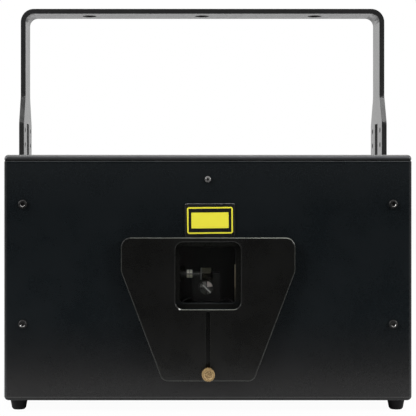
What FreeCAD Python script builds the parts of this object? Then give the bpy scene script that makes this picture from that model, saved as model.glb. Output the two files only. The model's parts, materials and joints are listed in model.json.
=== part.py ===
import FreeCAD, Part
import math
import os

# A laser show projector: a sheet-metal box on rubber feet, hung in a slotted U bracket.
# Millimetres. The origin lies on the floor under the tilt axis, +X is right seen from the front,
# -Y is the front and +Z is up.

V = FreeCAD.Vector

# Body
BODY_WIDTH = 320.0
BODY_HEIGHT = 192.9
BODY_DEPTH = 350.0
PIVOT_SETBACK = 182.0          # front face to tilt axis
PIVOT_DROP = 41.4              # top of the body to tilt axis
SHEET = 1.5
BOTTOM_BEND = 3.5              # outside radius of the tray's lower bends
FLANGE = 22.0                  # flanges that carry the front and rear panels
TOP_FLANGE = 13.0              # flanges that carry the top cover
FLOOR_LIP = 10.0
PANEL_SEAM = 0.8               # dark line between the front panel and the top cover
HOLE_CLEARANCE = 0.15          # added to a screw's radius where it passes a hole

# Top cover
COVER_RIM = 3.9
COVER_EDGE_ROUND = 3.0
COVER_CORNER = 2.0
COVER_BOSS_RADIUS = 4.5
COVER_SCREWS_PER_SIDE = 4
COVER_SCREW_INSET = 8.5
COVER_SCREW_END_INSET = 30.0

# Screws
M4_RADIUS = 2.0
M4_HEAD_RADIUS = 3.5
M4_HEAD_HEIGHT = 2.0
M4_SOCKET_ACROSS = 3.0
M3_RADIUS = 1.5
M3_HEAD_RADIUS = 2.5
M3_HEAD_HEIGHT = 1.6
SOCKET_DEPTH = 1.2
HEAD_ROUND = 0.6               # share of a head's height that is rounded
SCREW_GRIP = 4.0               # thread that shows behind the sheet a screw holds

# Front and rear panels
FRONT_THICKNESS = 4.0
FRONT_EDGE_ROUND = 1.0
REAR_THICKNESS = 2.0
PANEL_SCREW_INSET = 14.6
PANEL_SCREW_DROP = 38.7        # upper screws below the body's top
PANEL_SCREW_RISE = 60.0        # lower screws above the body's underside
CENTRE_SCREW_DROP = 19.3       # below the body's top

# Rubber feet
FOOT_HEIGHT = 8.5
FOOT_TOP_RADIUS = 7.0
FOOT_BOTTOM_RADIUS = 5.2
FOOT_SIDE_INSET = 10.3
FOOT_END_INSET = 12.0
FOOT_EDGE_ROUND = 1.2
FOOT_RECESS_DEPTH = 4.0

# Vents in the side walls
VENT_WIDTH = 4.0
VENT_HEIGHT = 42.0
VENT_PITCH = 9.0
VENTS_PER_GROUP = 7
VENT_RISE = 34.0
VENT_FRONT_INSET = 36.0        # panel face to the nearest vent's middle

# Aperture cover plate with its shutter pocket
PLATE_RISE = 15.9              # its lower edge above the body's underside
PLATE_HEIGHT = 112.2
PLATE_SHOULDER = 26.4          # upright part of its sides
PLATE_TOP_WIDTH = 136.2
PLATE_BOTTOM_WIDTH = 71.4
PLATE_WEB = 2.0
POCKET_DEPTH = 4.0
PLATE_TOP_CORNER = 7.5
PLATE_KINK_ROUND = 10.0
PLATE_BOTTOM_CORNER = 6.5
PLATE_EDGE_ROUND = 1.0
OPENING_WIDTH = 51.2
OPENING_HEIGHT = 52.4
OPENING_CORNER = 6.0
OPENING_TOP_MARGIN = 3.6
SLOT_WIDTH = 3.6
SLOT_TOP_GAP = 1.6             # plate left between the slot and the opening

# Masking shutter and thumb screw
SHUTTER_WIDTH = 60.0
SHUTTER_SHEET = 1.5
SHUTTER_FOLD = 2.0
SHUTTER_TOP_GAP = 1.0          # its upper edge below the opening at rest
SHUTTER_PLAY = 0.15
SHUTTER_SIDE_PLAY = 0.3
SHUTTER_BOSS_RADIUS = 4.0
SHUTTER_BELOW_SCREW = 2.8
THUMB_RISE = 5.9               # its middle above the plate's lower edge
THUMB_RADIUS = 5.1
THUMB_HEIGHT = 7.0
THUMB_GAP = 0.5
THUMB_FLUTES = 24
THUMB_FLUTE_RADIUS = 0.45
THUMB_DISH = 0.8
THUMB_RIM = 1.5
RUNNING_FIT = 0.05

# Beam window
WINDOW_SIZE = 44.0
WINDOW_CORNER = 3.0
GLASS_SIZE = 52.0
GLASS_THICKNESS = 2.0
GASKET_THICKNESS = 0.5
RETAINER_WIDTH = 84.0
RETAINER_HEIGHT = 66.0
RETAINER_LIP = 2.0
RETAINER_SCREW_X = 36.0
RETAINER_SCREW_Z = 24.0
PLATE_THREAD_DEPTH = 3.5
SEAT_PLAY = 0.1

# Mounting bracket
BRACKET_SIDE_GAP = 2.5
BRACKET_THICKNESS = 4.5
BRACKET_RISE = 133.1           # crossbar's underside above the body's top
BRACKET_BEND = 7.5             # inside radius
STRIP_WIDTH = 36.0
ARM_WIDTH = 61.0
FLARE_LOW = 73.5               # above the tilt axis
FLARE_HIGH = 99.0
FLARE_ROUND = 8.0
ARM_END_ROUND = 24.0
ARM_END_MARGIN = 22.0          # plate below the slot
BRACKET_SLOT_WIDTH = 11.0
BRACKET_SLOT_TOP = 74.0        # above the tilt axis
CLAMP_HOLE_RADIUS = 6.5
CLAMP_HOLE_SPACING = 105.0
INDEX_HOLE_RADIUS = 2.5
INDEX_EDGE_INSET = 10.0
INDEX_TOP = 67.4               # above the tilt axis
INDEX_PITCH = 13.5
INDEX_ROWS = 6

# Pivot: nut plates, friction washers, slot guides, lock knobs
STUD_RADIUS = 5.0
NUT_PLATE_SIZE = 50.0
NUT_PLATE_THICKNESS = 4.0
NUT_PLATE_CORNER = 6.0
NUT_RADIUS = 11.0
NUT_HEIGHT = 8.0
WASHER_RADIUS = 16.0
WASHER_PLAY = 0.15
GUIDE_LENGTH = 22.0
GUIDE_FLANGE_RADIUS = 15.0
GUIDE_FLANGE = 2.4
GUIDE_PLAY = 0.1
KNOB_HEIGHT = 11.0
KNOB_CORE_RADIUS = 14.0
KNOB_LOBES = 7
KNOB_LOBE_RADIUS = 4.5
KNOB_LOBE_CIRCLE = 14.5
KNOB_EDGE_ROUND = 1.2

# Safety eye
EYE_REACH = 27.5
EYE_THICKNESS = 5.0
EYE_HEIGHT = 26.0
EYE_HOLE_RADIUS = 7.0
EYE_BASE_WIDTH = 44.0
EYE_BASE_THICKNESS = 3.0
EYE_DROP = 38.4                # below the body's top
EYE_SCREW_SPACING = 32.0
EYE_TIP_ROUND = 11.5

# Fans
FAN_SIZE = 60.0
FAN_DEPTH = 20.0
FAN_BORE_RADIUS = 28.0
FAN_SPACING = 184.0
FAN_DROP = 61.4                # fans' middles below the body's top
FAN_SCREW_SPACING = 50.0
FAN_CORNER = 4.0
FAN_HUB_RADIUS = 12.5
FAN_HUB_ROUND = 1.0
FAN_PIN_RADIUS = 2.0
FAN_BLADES = 7
FAN_BLADE_SHEET = 1.4
FAN_BLADE_PITCH = 38.0         # degrees from the fan's plane
FAN_TIP_GAP = 0.8
FAN_STRUTS = 3
FAN_STRUT_WIDTH = 4.0
FAN_STRUT_DEPTH = 3.0
FAN_END_GAP = 0.5
GUARD_WIRE = 0.9               # radius
GUARD_RING_LIFT = 0.6          # rings' middle behind the spokes' middle
GUARD_RINGS = 3
GUARD_RING_STEP = 7.0
GUARD_FIRST_RING = 11.0
GUARD_EYE = 2.2                # thickness of the flattened eyes that its screws hold

# Rear connectors and controls, placed to the right of the middle as seen from behind
ROW_RISE = 36.5
INLET_PLACE = -118.0
ROCKER_PLACE = -86.0
KEY_PLACE = -60.0
INTERLOCK_PLACE = -28.0
DMX_IN_PLACE = 8.0
DMX_OUT_PLACE = 42.0
ILDA_PLACE = 100.0
ILDA_STACK = 20.0
INDICATOR_RISE = 22.0          # above the key switch
CUTOUT_PLAY = 0.2
BEZEL_TAPER = 1.0

INLET_FLANGE_WIDTH = 31.0
INLET_FLANGE_HEIGHT = 24.0
INLET_FLANGE = 2.5
INLET_FLANGE_CORNER = 2.0
INLET_BODY_WIDTH = 27.0
INLET_BODY_HEIGHT = 20.0
INLET_BODY_DEPTH = 20.0
INLET_WELL_WIDTH = 23.0
INLET_WELL_HEIGHT = 16.0
INLET_WELL_DEPTH = 15.0
INLET_WELL_CORNER = 4.0
INLET_PIN_WIDTH = 2.0
INLET_PIN_HEIGHT = 4.0
INLET_PIN_LENGTH = 9.0
INLET_PIN_SPACING = 7.0
INLET_EARTH_RISE = 3.0

ROCKER_WIDTH = 11.0
ROCKER_REACH = 8.2             # radius of its ends about its axis
ROCKER_SWING = 20.0            # degrees between off and on
ROCKER_PROUD = 3.6
ROCKER_DIP = 1.2
ROCKER_DEPTH = 4.0
ROCKER_AXIS_DEPTH = 1.0
ROCKER_PLAY = 0.4
ROCKER_FRAME_WALL = 2.2
ROCKER_FRAME_FLANGE = 2.0
ROCKER_FRAME_CORNER = 1.0
ROCKER_BODY_DEPTH = 14.0

KEY_BEZEL_RADIUS = 10.5
KEY_BEZEL = 3.0
KEY_BARREL_RADIUS = 8.0
KEY_BARREL_DEPTH = 22.0
KEY_PLUG_RADIUS = 5.0
KEY_PLUG_DEPTH = 8.0
KEY_SHEET = 2.0
KEY_BLADE_WIDTH = 7.0
KEY_NECK = 6.0
KEY_BOW_RADIUS = 9.0
KEY_BOW_HOLE_RADIUS = 3.0

XLR_FLANGE_WIDTH = 26.0
XLR_FLANGE_HEIGHT = 31.0
XLR_FLANGE = 2.0
XLR_FLANGE_CORNER = 3.0
XLR_BODY_RADIUS = 11.5
XLR_BODY_DEPTH = 20.0
XLR_CUP_RADIUS = 9.2
XLR_CUP_DEPTH = 14.0
XLR_PIN_RADIUS = 1.2
XLR_PIN_LENGTH = 8.0
XLR_PIN_CIRCLE = 4.2
XLR_HOLE_DEPTH = 6.0

DSUB_FLANGE_WIDTH = 53.0
DSUB_FLANGE_HEIGHT = 12.5
DSUB_FLANGE = 1.2
DSUB_SHELL_WIDTH = 39.0
DSUB_SHELL_HEIGHT = 8.4
DSUB_SHELL_TAPER = 1.5
DSUB_SHELL_LENGTH = 6.0
DSUB_SHELL_WALL = 0.6
DSUB_BODY_DEPTH = 10.0
DSUB_CORNER = 2.5
DSUB_STUD_SPACING = 47.0
DSUB_STUD_RADIUS = 2.4
DSUB_STUD_LENGTH = 5.0

LED_BEZEL_RADIUS = 6.0
LED_BEZEL = 2.0
LED_BODY_RADIUS = 4.0
LED_BODY_DEPTH = 14.0
LED_DOME_RADIUS = 3.2

# Scanner
SCAN_SETBACK = 37.0            # front face to the beam's line across the scanner
PAN_AXIS_DROP = 13.5           # below the opening's middle
TILT_AXIS_DROP = 1.5
GALVO_RADIUS = 6.5
GALVO_LENGTH = 30.0
GALVO_SHAFT_RADIUS = 1.5
PAN_FACE_GAP = 7.0             # beam's line to the pan motor's face
TILT_FACE_GAP = 18.0           # scanner's middle to the tilt motor's face
PAN_CLAMP = (0.2, 3.0)         # where each shaft's clamp starts and ends, from the motor's face
TILT_CLAMP = (2.0, 7.0)
CLAMP_RADIUS = 3.0
MIRROR_SHEET = 1.0
PAN_MIRROR_LENGTH = 9.0
PAN_MIRROR_WIDTH = 8.0
TILT_MIRROR_LENGTH = 14.0
TILT_MIRROR_WIDTH = 10.0
MIRROR_SLANT = 45.0
GALVO_WALL = 5.0
GALVO_GRIP = 22.0
SCANNER_BASE = 12.0
BAFFLE_PLACE = 23.0
BAFFLE_SHEET = 1.0
BAFFLE_LENGTH = 12.0
BAFFLE_RISE = 19.0             # above the beam

# Optical base plate, lasers and folding mirrors
BEAM_HEIGHT = 45.3             # above the base plate
BASE_THICKNESS = 10.0
BASE_LEFT = -60.0
BASE_RIGHT = 150.0
BASE_FRONT_INSET = 17.0
BASE_LENGTH = 185.0
BASE_CORNER = 8.0
ISOLATOR_RADIUS = 10.0
ISOLATOR_WAIST = 7.0
ISOLATOR_INSET = 16.0
LASER_FIRST = 55.0
LASER_PITCH = 37.0
LASER_WIDTH = 28.0
LASER_LENGTH = 95.0
LASER_HEIGHT = 60.0
LASER_SETBACK = 35.0           # beam's line to the lasers' noses
LASER_NOSE_RADIUS = 5.0
LASER_NOSE = 4.0
LASER_FINS = 9
LASER_FIN_GAP = 4.0
LASER_FIN_DEPTH = 12.0
FOLD_MIRROR_LENGTH = 18.0
FOLD_MIRROR_HEIGHT = 14.0
FOLD_MIRROR_SHEET = 3.0
FOLD_FOOT = 20.0
FOLD_FOOT_HEIGHT = 6.0
FOLD_POST_RADIUS = 5.0
FOLD_CLAMP_SHEET = 4.0

# Safety shutter in the beam's path
FLAG_PLACE = 37.0
FLAG_AXIS_RISE = 20.0          # above the beam
FLAG_WIDTH = 7.0
FLAG_SHEET = 0.8
FLAG_CORNER = 1.0
FLAG_TAIL = 6.0                # below the beam
FLAG_HUB_RADIUS = 3.5
FLAG_SHAFT_RADIUS = 1.5
SOLENOID_SIZE = 18.0
SOLENOID_CORNER = 2.0
SOLENOID_LENGTH = 20.0
SOLENOID_GAP = 2.0
SOLENOID_POST_WIDTH = 10.0

# Power supply and boards
SUPPLY_LEFT = -148.0
SUPPLY_WIDTH = 78.0
SUPPLY_FRONT_INSET = 90.0
SUPPLY_LENGTH = 160.0
SUPPLY_HEIGHT = 46.0
SUPPLY_SHEET = 1.2
SUPPLY_HOLE_WIDTH = 4.0
SUPPLY_HOLE_PITCH = 9.0
BOARD_SHEET = 1.6
BOARD_LIFT = 10.0
BOARD_INSET = 5.0
STANDOFF_RADIUS = 2.75

# Boards: their left edges, widths, and the room left before and behind them
LASER_BOARD_LEFT = -60.0
LASER_BOARD_WIDTH = 74.0
CONTROL_BOARD_LEFT = 24.0
CONTROL_BOARD_WIDTH = 118.0
REAR_BOARD_GAP = 12.0          # behind the base plate
REAR_BOARD_ROOM = 44.0         # before the rear panel's outer face
GALVO_BOARD_LEFT = -150.0
GALVO_BOARD_WIDTH = 78.0
GALVO_BOARD_INSET = 18.0       # behind the front face
GALVO_BOARD_GAP = 10.0         # before the power supply

# Parts on the boards: left, front, width and length as shares of the board, then height in millimetres
SINK_BARS = 4
SINK_BAR_STEP = 0.162
SINK_BAR = (0.15, 0.08, 0.54, 22.0)              # without its left
LASER_TERMINALS = (0.16, 0.80, 0.68, 0.09, 10.0)
PROCESSOR = (0.12, 0.17, 0.25, 0.33, 4.0)
RELAYS = (0.46, 0.17, 0.42, 0.15, 9.0)
MEMORY = (0.46, 0.48, 0.15, 0.20, 3.0)
CONTROL_TERMINALS = (0.12, 0.78, 0.76, 0.11, 11.0)
GALVO_SINKS = ((0.15, 0.19, 0.31, 0.61, 18.0), (0.54, 0.19, 0.31, 0.61, 18.0))

# Places worked out from the sizes above
BODY_BOTTOM = FOOT_HEIGHT
BODY_TOP = BODY_BOTTOM + BODY_HEIGHT
FRONT_Y = -PIVOT_SETBACK
REAR_Y = FRONT_Y + BODY_DEPTH
HALF_WIDTH = BODY_WIDTH / 2
WALL_INSIDE = HALF_WIDTH - SHEET
FLOOR_Z = BODY_BOTTOM + SHEET
TRAY_TOP = BODY_TOP - COVER_RIM
TRAY_FRONT = FRONT_Y + FRONT_THICKNESS
TRAY_REAR = REAR_Y - REAR_THICKNESS
PIVOT_Z = BODY_TOP - PIVOT_DROP
PANEL_SCREW_X = HALF_WIDTH - PANEL_SCREW_INSET
PANEL_SCREW_PLACES = [
    (side * PANEL_SCREW_X, z)
    for side in (-1, 1)
    for z in (BODY_BOTTOM + PANEL_SCREW_RISE, BODY_TOP - PANEL_SCREW_DROP)
]
PLATE_THICKNESS = PLATE_WEB + POCKET_DEPTH
PLATE_BOTTOM = BODY_BOTTOM + PLATE_RISE
PLATE_TOP = PLATE_BOTTOM + PLATE_HEIGHT
PLATE_FACE_Y = FRONT_Y - PLATE_THICKNESS
OPENING_TOP = PLATE_TOP - OPENING_TOP_MARGIN
OPENING_BOTTOM = OPENING_TOP - OPENING_HEIGHT
OPENING_Z = (OPENING_TOP + OPENING_BOTTOM) / 2
THUMB_Z = PLATE_BOTTOM + THUMB_RISE
SLOT_TOP = OPENING_BOTTOM - SLOT_TOP_GAP
SLOT_BOTTOM = THUMB_Z - SLOT_WIDTH / 2
SHUTTER_TRAVEL = SLOT_TOP - SLOT_BOTTOM - SLOT_WIDTH
SHUTTER_TOP = OPENING_BOTTOM - SHUTTER_TOP_GAP
SHUTTER_BOTTOM = THUMB_Z - SHUTTER_BELOW_SCREW
POCKET_BOTTOM = SHUTTER_BOTTOM - SHUTTER_SIDE_PLAY
POCKET_TOP = SHUTTER_TOP + SHUTTER_TRAVEL + 2 * SHUTTER_SIDE_PLAY
POCKET_WIDTH = SHUTTER_WIDTH + 2 * SHUTTER_SIDE_PLAY
RETAINER_SCREW_PLACES = [
    (x * RETAINER_SCREW_X, OPENING_Z + z * RETAINER_SCREW_Z) for x in (-1, 1) for z in (-1, 1)
]
GLASS_BACK_Y = FRONT_Y + FRONT_THICKNESS + GASKET_THICKNESS + GLASS_THICKNESS
RETAINER_BACK_Y = GLASS_BACK_Y + RETAINER_LIP
ARM_INSIDE = HALF_WIDTH + BRACKET_SIDE_GAP
ARM_OUTSIDE = ARM_INSIDE + BRACKET_THICKNESS
CROSSBAR_BOTTOM = BODY_TOP + BRACKET_RISE
CROSSBAR_TOP = CROSSBAR_BOTTOM + BRACKET_THICKNESS
GUIDE_WIDTH = BRACKET_SLOT_WIDTH - 2 * GUIDE_PLAY
BRACKET_SLOT_BOTTOM = -GUIDE_LENGTH / 2 - GUIDE_PLAY
GUIDE_OUTSIDE = ARM_OUTSIDE + GUIDE_PLAY + GUIDE_FLANGE
FAN_Z = BODY_TOP - FAN_DROP
ROW_Z = BODY_BOTTOM + ROW_RISE
ILDA_HEIGHTS = [ROW_Z - ILDA_STACK / 2, ROW_Z + ILDA_STACK / 2]
EYE_Z = BODY_TOP - EYE_DROP
SCAN_Y = FRONT_Y + SCAN_SETBACK
PAN_Z = OPENING_Z - PAN_AXIS_DROP
TILT_Z = OPENING_Z - TILT_AXIS_DROP
BASE_TOP = PAN_Z - BEAM_HEIGHT
BASE_BOTTOM = BASE_TOP - BASE_THICKNESS
LASER_PLACES = [LASER_FIRST + step * LASER_PITCH for step in range(3)]
LASER_FRONT_Y = SCAN_Y + LASER_SETBACK
FLAG_AXIS_Z = PAN_Z + FLAG_AXIS_RISE
PAN_FACE_Y = SCAN_Y + PAN_FACE_GAP
TILT_FACE_X = -TILT_FACE_GAP
PAN_REACH = PAN_FACE_GAP - PAN_MIRROR_WIDTH / 2
TILT_REACH = TILT_FACE_GAP - TILT_MIRROR_WIDTH / 2
BOARD_Z = FLOOR_Z + BOARD_LIFT
REAR_BOARD_FRONT = FRONT_Y + BASE_FRONT_INSET + BASE_LENGTH + REAR_BOARD_GAP
REAR_BOARD_LENGTH = REAR_Y - REAR_BOARD_ROOM - REAR_BOARD_FRONT
GALVO_BOARD_FRONT = FRONT_Y + GALVO_BOARD_INSET
GALVO_BOARD_LENGTH = SUPPLY_FRONT_INSET - GALVO_BOARD_INSET - GALVO_BOARD_GAP
# Each board's left edge, front edge, width and length
LASER_BOARD = (LASER_BOARD_LEFT, REAR_BOARD_FRONT, LASER_BOARD_WIDTH, REAR_BOARD_LENGTH)
CONTROL_BOARD = (CONTROL_BOARD_LEFT, REAR_BOARD_FRONT, CONTROL_BOARD_WIDTH, REAR_BOARD_LENGTH)
GALVO_BOARD = (GALVO_BOARD_LEFT, GALVO_BOARD_FRONT, GALVO_BOARD_WIDTH, GALVO_BOARD_LENGTH)

# Each direction a piece can face: where its own x, y and z point
FRONT = FreeCAD.Rotation(V(1, 0, 0), V(0, 0, 1), V(0, -1, 0), "ZXY")
REAR = FreeCAD.Rotation(V(-1, 0, 0), V(0, 0, 1), V(0, 1, 0), "ZXY")
RIGHT = FreeCAD.Rotation(V(0, 1, 0), V(0, 0, 1), V(1, 0, 0), "ZXY")
LEFT = FreeCAD.Rotation(V(0, -1, 0), V(0, 0, 1), V(-1, 0, 0), "ZXY")
UP = FreeCAD.Rotation()
DOWN = FreeCAD.Rotation(V(1, 0, 0), V(0, -1, 0), V(0, 0, -1), "ZXY")


# Small tools for shapes. Shapes are made about their own origin, facing +z, then placed.
def placed(shape, facing, at):
    moved = shape.copy()
    moved.Placement = FreeCAD.Placement(V(*at), facing).multiply(moved.Placement)
    return moved


def block(x0, x1, y0, y1, z0, z1):
    return Part.makeBox(x1 - x0, y1 - y0, z1 - z0, V(x0, y0, z0))


def rod(radius, low, high, x=0.0, y=0.0):
    return Part.makeCylinder(radius, high - low, V(x, y, low))


def joined(first, *others):
    return first.fuse(list(others)).removeSplitter()


def holed(shape, cuts):
    return shape.cut(list(cuts))


def rounded_face(corners):
    """A flat face whose corners are (x, y, radius), in order round the outline."""
    starts, ends, middles = [], [], []
    count = len(corners)
    for i in range(count):
        x, y, radius = corners[i]
        here = V(x, y, 0)
        before = V(*corners[i - 1][:2], 0) - here
        after = V(*corners[(i + 1) % count][:2], 0) - here
        before.normalize()
        after.normalize()
        half = before.getAngle(after) / 2
        reach = radius / math.tan(half) if radius else 0.0
        starts.append(here + before * reach)
        ends.append(here + after * reach)
        inward = before + after
        inward.normalize()
        middles.append(here + inward * (radius / math.sin(half) - radius))
    edges = []
    for i in range(count):
        if corners[i][2]:
            edges.append(Part.Arc(starts[i], middles[i], ends[i]).toShape())
        following = starts[(i + 1) % count]
        if (following - ends[i]).Length > 1e-6:
            edges.append(Part.LineSegment(ends[i], following).toShape())
    return Part.Face(Part.Wire(edges))


def slab(corners, low, high):
    face = rounded_face(corners)
    face.translate(V(0, 0, low))
    return face.extrude(V(0, 0, high - low))


def rectangle(width, height, radius=0.0, x=0.0, y=0.0):
    w, h = width / 2, height / 2
    return [(x - w, y - h, radius), (x + w, y - h, radius), (x + w, y + h, radius), (x - w, y + h, radius)]


def obround(width, height, x=0.0, y=0.0):
    return rectangle(width, height, width / 2, x, y)


def turning(points):
    """A solid turned about z from (radius, height) points."""
    wire = Part.makePolygon([V(r, 0, z) for r, z in points + points[:1]])
    return Part.Face(wire).revolve(V(0, 0, 0), V(0, 0, 1), 360)


def edges_at(shape, height):
    return [e for e in shape.Edges if all(abs(v.Z - height) < 1e-6 for v in e.Vertexes)]


def rounded_at(shape, height, radius):
    """The shape with every edge at this height rounded."""
    return shape.makeFillet(radius, edges_at(shape, height))


def socket_screw(radius, head_radius, head_height, length, across):
    """A button-head socket screw: its head stands on z = 0 and its shank runs down."""
    head = rod(head_radius, 0, head_height)
    head = rounded_at(head, head_height, head_height * HEAD_ROUND)
    hexagon = [
        (across / math.sqrt(3) * math.cos(math.radians(60 * i)),
         across / math.sqrt(3) * math.sin(math.radians(60 * i)), 0.0)
        for i in range(6)
    ]
    key = slab(hexagon, head_height - SOCKET_DEPTH, head_height + 1)
    return joined(head.cut(key), rod(radius, -length, 0))


def flat_screw(radius, head_radius, length):
    """A countersunk screw with its face at z = 0."""
    drop = head_radius - radius
    return turning([(0, 0), (head_radius, 0), (radius, -drop), (radius, -length), (0, -length)])


# Chassis and covers
def body_outline(top, corner):
    """The body's outline seen from the front, in x and z."""
    return [
        (-HALF_WIDTH, BODY_BOTTOM, BOTTOM_BEND),
        (HALF_WIDTH, BODY_BOTTOM, BOTTOM_BEND),
        (HALF_WIDTH, top, corner),
        (-HALF_WIDTH, top, corner),
    ]


def foot_places():
    for x in (-1, 1):
        for y in (FRONT_Y + FOOT_END_INSET, REAR_Y - FOOT_END_INSET):
            yield (x * (HALF_WIDTH - FOOT_SIDE_INSET), y, BODY_BOTTOM)


def cover_screw_places():
    run = BODY_DEPTH - 2 * COVER_SCREW_END_INSET
    for x in (-1, 1):
        for i in range(COVER_SCREWS_PER_SIDE):
            y = FRONT_Y + COVER_SCREW_END_INSET + run * i / (COVER_SCREWS_PER_SIDE - 1)
            yield (x * (HALF_WIDTH - COVER_SCREW_INSET), y, BODY_TOP)


def vent_cuts():
    cut = slab(obround(VENT_WIDTH, VENT_HEIGHT), -HALF_WIDTH - 1, HALF_WIDTH + 1)
    z = FLOOR_Z + VENT_RISE + VENT_HEIGHT / 2
    for first, step in ((FRONT_Y + VENT_FRONT_INSET, 1), (REAR_Y - VENT_FRONT_INSET, -1)):
        for i in range(VENTS_PER_GROUP):
            yield placed(cut, RIGHT, (0, first + step * i * VENT_PITCH, z))


def chassis_tray():
    depth = TRAY_REAR - TRAY_FRONT
    shell = placed(slab(body_outline(TRAY_TOP, 0), 0, depth), FRONT, (0, TRAY_REAR, 0))
    inner = [
        (-WALL_INSIDE, FLOOR_Z, BOTTOM_BEND - SHEET),
        (WALL_INSIDE, FLOOR_Z, BOTTOM_BEND - SHEET),
        (WALL_INSIDE, TRAY_TOP + 1, 0),
        (-WALL_INSIDE, TRAY_TOP + 1, 0),
    ]
    shell = shell.cut(placed(slab(inner, -1, depth + 1), FRONT, (0, TRAY_REAR, 0)))
    pieces = []
    for x0, x1 in ((-WALL_INSIDE, -WALL_INSIDE + FLANGE), (WALL_INSIDE - FLANGE, WALL_INSIDE)):
        pieces.append(block(x0, x1, TRAY_FRONT, TRAY_FRONT + SHEET, FLOOR_Z, TRAY_TOP))
        pieces.append(block(x0, x1, TRAY_REAR - SHEET, TRAY_REAR, FLOOR_Z, TRAY_TOP))
    for x0, x1 in ((-WALL_INSIDE, -WALL_INSIDE + TOP_FLANGE), (WALL_INSIDE - TOP_FLANGE, WALL_INSIDE)):
        pieces.append(block(x0, x1, TRAY_FRONT, TRAY_REAR, TRAY_TOP - SHEET, TRAY_TOP))
    for y0 in (TRAY_FRONT, TRAY_REAR - SHEET):
        pieces.append(block(-WALL_INSIDE, WALL_INSIDE, y0, y0 + SHEET, FLOOR_Z, FLOOR_Z + FLOOR_LIP))
    tray = joined(shell, *pieces)
    screw_hole = rod(M4_RADIUS + HOLE_CLEARANCE, -SHEET - 1, SHEET + 1)
    cuts = list(vent_cuts())
    cuts += [placed(screw_hole, UP, at) for at in foot_places()]
    cuts += [placed(screw_hole, UP, (x, y, TRAY_TOP)) for x, y, _ in cover_screw_places()]
    for x, z in PANEL_SCREW_PLACES:
        cuts.append(placed(screw_hole, FRONT, (x, TRAY_FRONT + SHEET / 2, z)))
        cuts.append(placed(screw_hole, FRONT, (x, TRAY_REAR - SHEET / 2, z)))
    stud_hole = rod(STUD_RADIUS + HOLE_CLEARANCE, -HALF_WIDTH - 1, HALF_WIDTH + 1)
    cuts.append(placed(stud_hole, RIGHT, (0, 0, PIVOT_Z)))
    return holed(tray, cuts)


def top_cover():
    middle = (FRONT_Y + REAR_Y) / 2
    outer = slab(rectangle(BODY_WIDTH, BODY_DEPTH, COVER_CORNER), 0, COVER_RIM)
    outer = rounded_at(outer, COVER_RIM, COVER_EDGE_ROUND)
    rim = 2 * (COVER_EDGE_ROUND + SHEET / 2)
    hollow = slab(rectangle(BODY_WIDTH - rim, BODY_DEPTH - rim), -1, COVER_RIM - SHEET)
    cover = placed(outer.cut(hollow), UP, (0, middle, TRAY_TOP))
    boss = rod(COVER_BOSS_RADIUS, -COVER_RIM, -SHEET / 2)
    cover = joined(cover, *[placed(boss, UP, at) for at in cover_screw_places()])
    sink = flat_screw(M4_RADIUS + HOLE_CLEARANCE, M4_HEAD_RADIUS + HOLE_CLEARANCE, COVER_RIM + 1)
    return holed(cover, [placed(sink, UP, at) for at in cover_screw_places()])


def top_cover_screws():
    screw = flat_screw(M4_RADIUS, M4_HEAD_RADIUS, COVER_RIM + SHEET + SCREW_GRIP)
    return Part.makeCompound([placed(screw, UP, at) for at in cover_screw_places()])


def front_panel():
    panel = slab(body_outline(TRAY_TOP - PANEL_SEAM, FRONT_EDGE_ROUND), 0, FRONT_THICKNESS)
    panel = rounded_at(panel, FRONT_THICKNESS, FRONT_EDGE_ROUND)
    cuts = [slab(rectangle(WINDOW_SIZE, WINDOW_SIZE, WINDOW_CORNER, 0, OPENING_Z), -1, FRONT_THICKNESS + 1)]
    for x, z in PANEL_SCREW_PLACES:
        cuts.append(rod(M4_RADIUS + HOLE_CLEARANCE, -1, FRONT_THICKNESS + 1, x, z))
    for x, z in RETAINER_SCREW_PLACES + [(0, BODY_TOP - CENTRE_SCREW_DROP)]:
        cuts.append(rod(M3_RADIUS + HOLE_CLEARANCE, -1, FRONT_THICKNESS + 1, x, z))
    return placed(holed(panel, cuts), FRONT, (0, FRONT_Y + FRONT_THICKNESS, 0))


def front_panel_screws():
    length = FRONT_THICKNESS + SHEET + SCREW_GRIP
    corner = socket_screw(M4_RADIUS, M4_HEAD_RADIUS, M4_HEAD_HEIGHT, length, M4_SOCKET_ACROSS)
    screws = [placed(corner, FRONT, (x, FRONT_Y, z)) for x, z in PANEL_SCREW_PLACES]
    small = socket_screw(M3_RADIUS, M3_HEAD_RADIUS, M3_HEAD_HEIGHT, FRONT_THICKNESS, M3_RADIUS)
    screws.append(placed(small, FRONT, (0, FRONT_Y, BODY_TOP - CENTRE_SCREW_DROP)))
    return Part.makeCompound(screws)


def fan_middles():
    return [(-FAN_SPACING / 2, FAN_Z), (FAN_SPACING / 2, FAN_Z)]


def fan_screw_places():
    half = FAN_SCREW_SPACING / 2
    return [(x + i * half, z + j * half) for x, z in fan_middles() for i in (-1, 1) for j in (-1, 1)]


def eye_screw_places():
    return [(side * EYE_SCREW_SPACING / 2, EYE_Z) for side in (-1, 1)]


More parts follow.
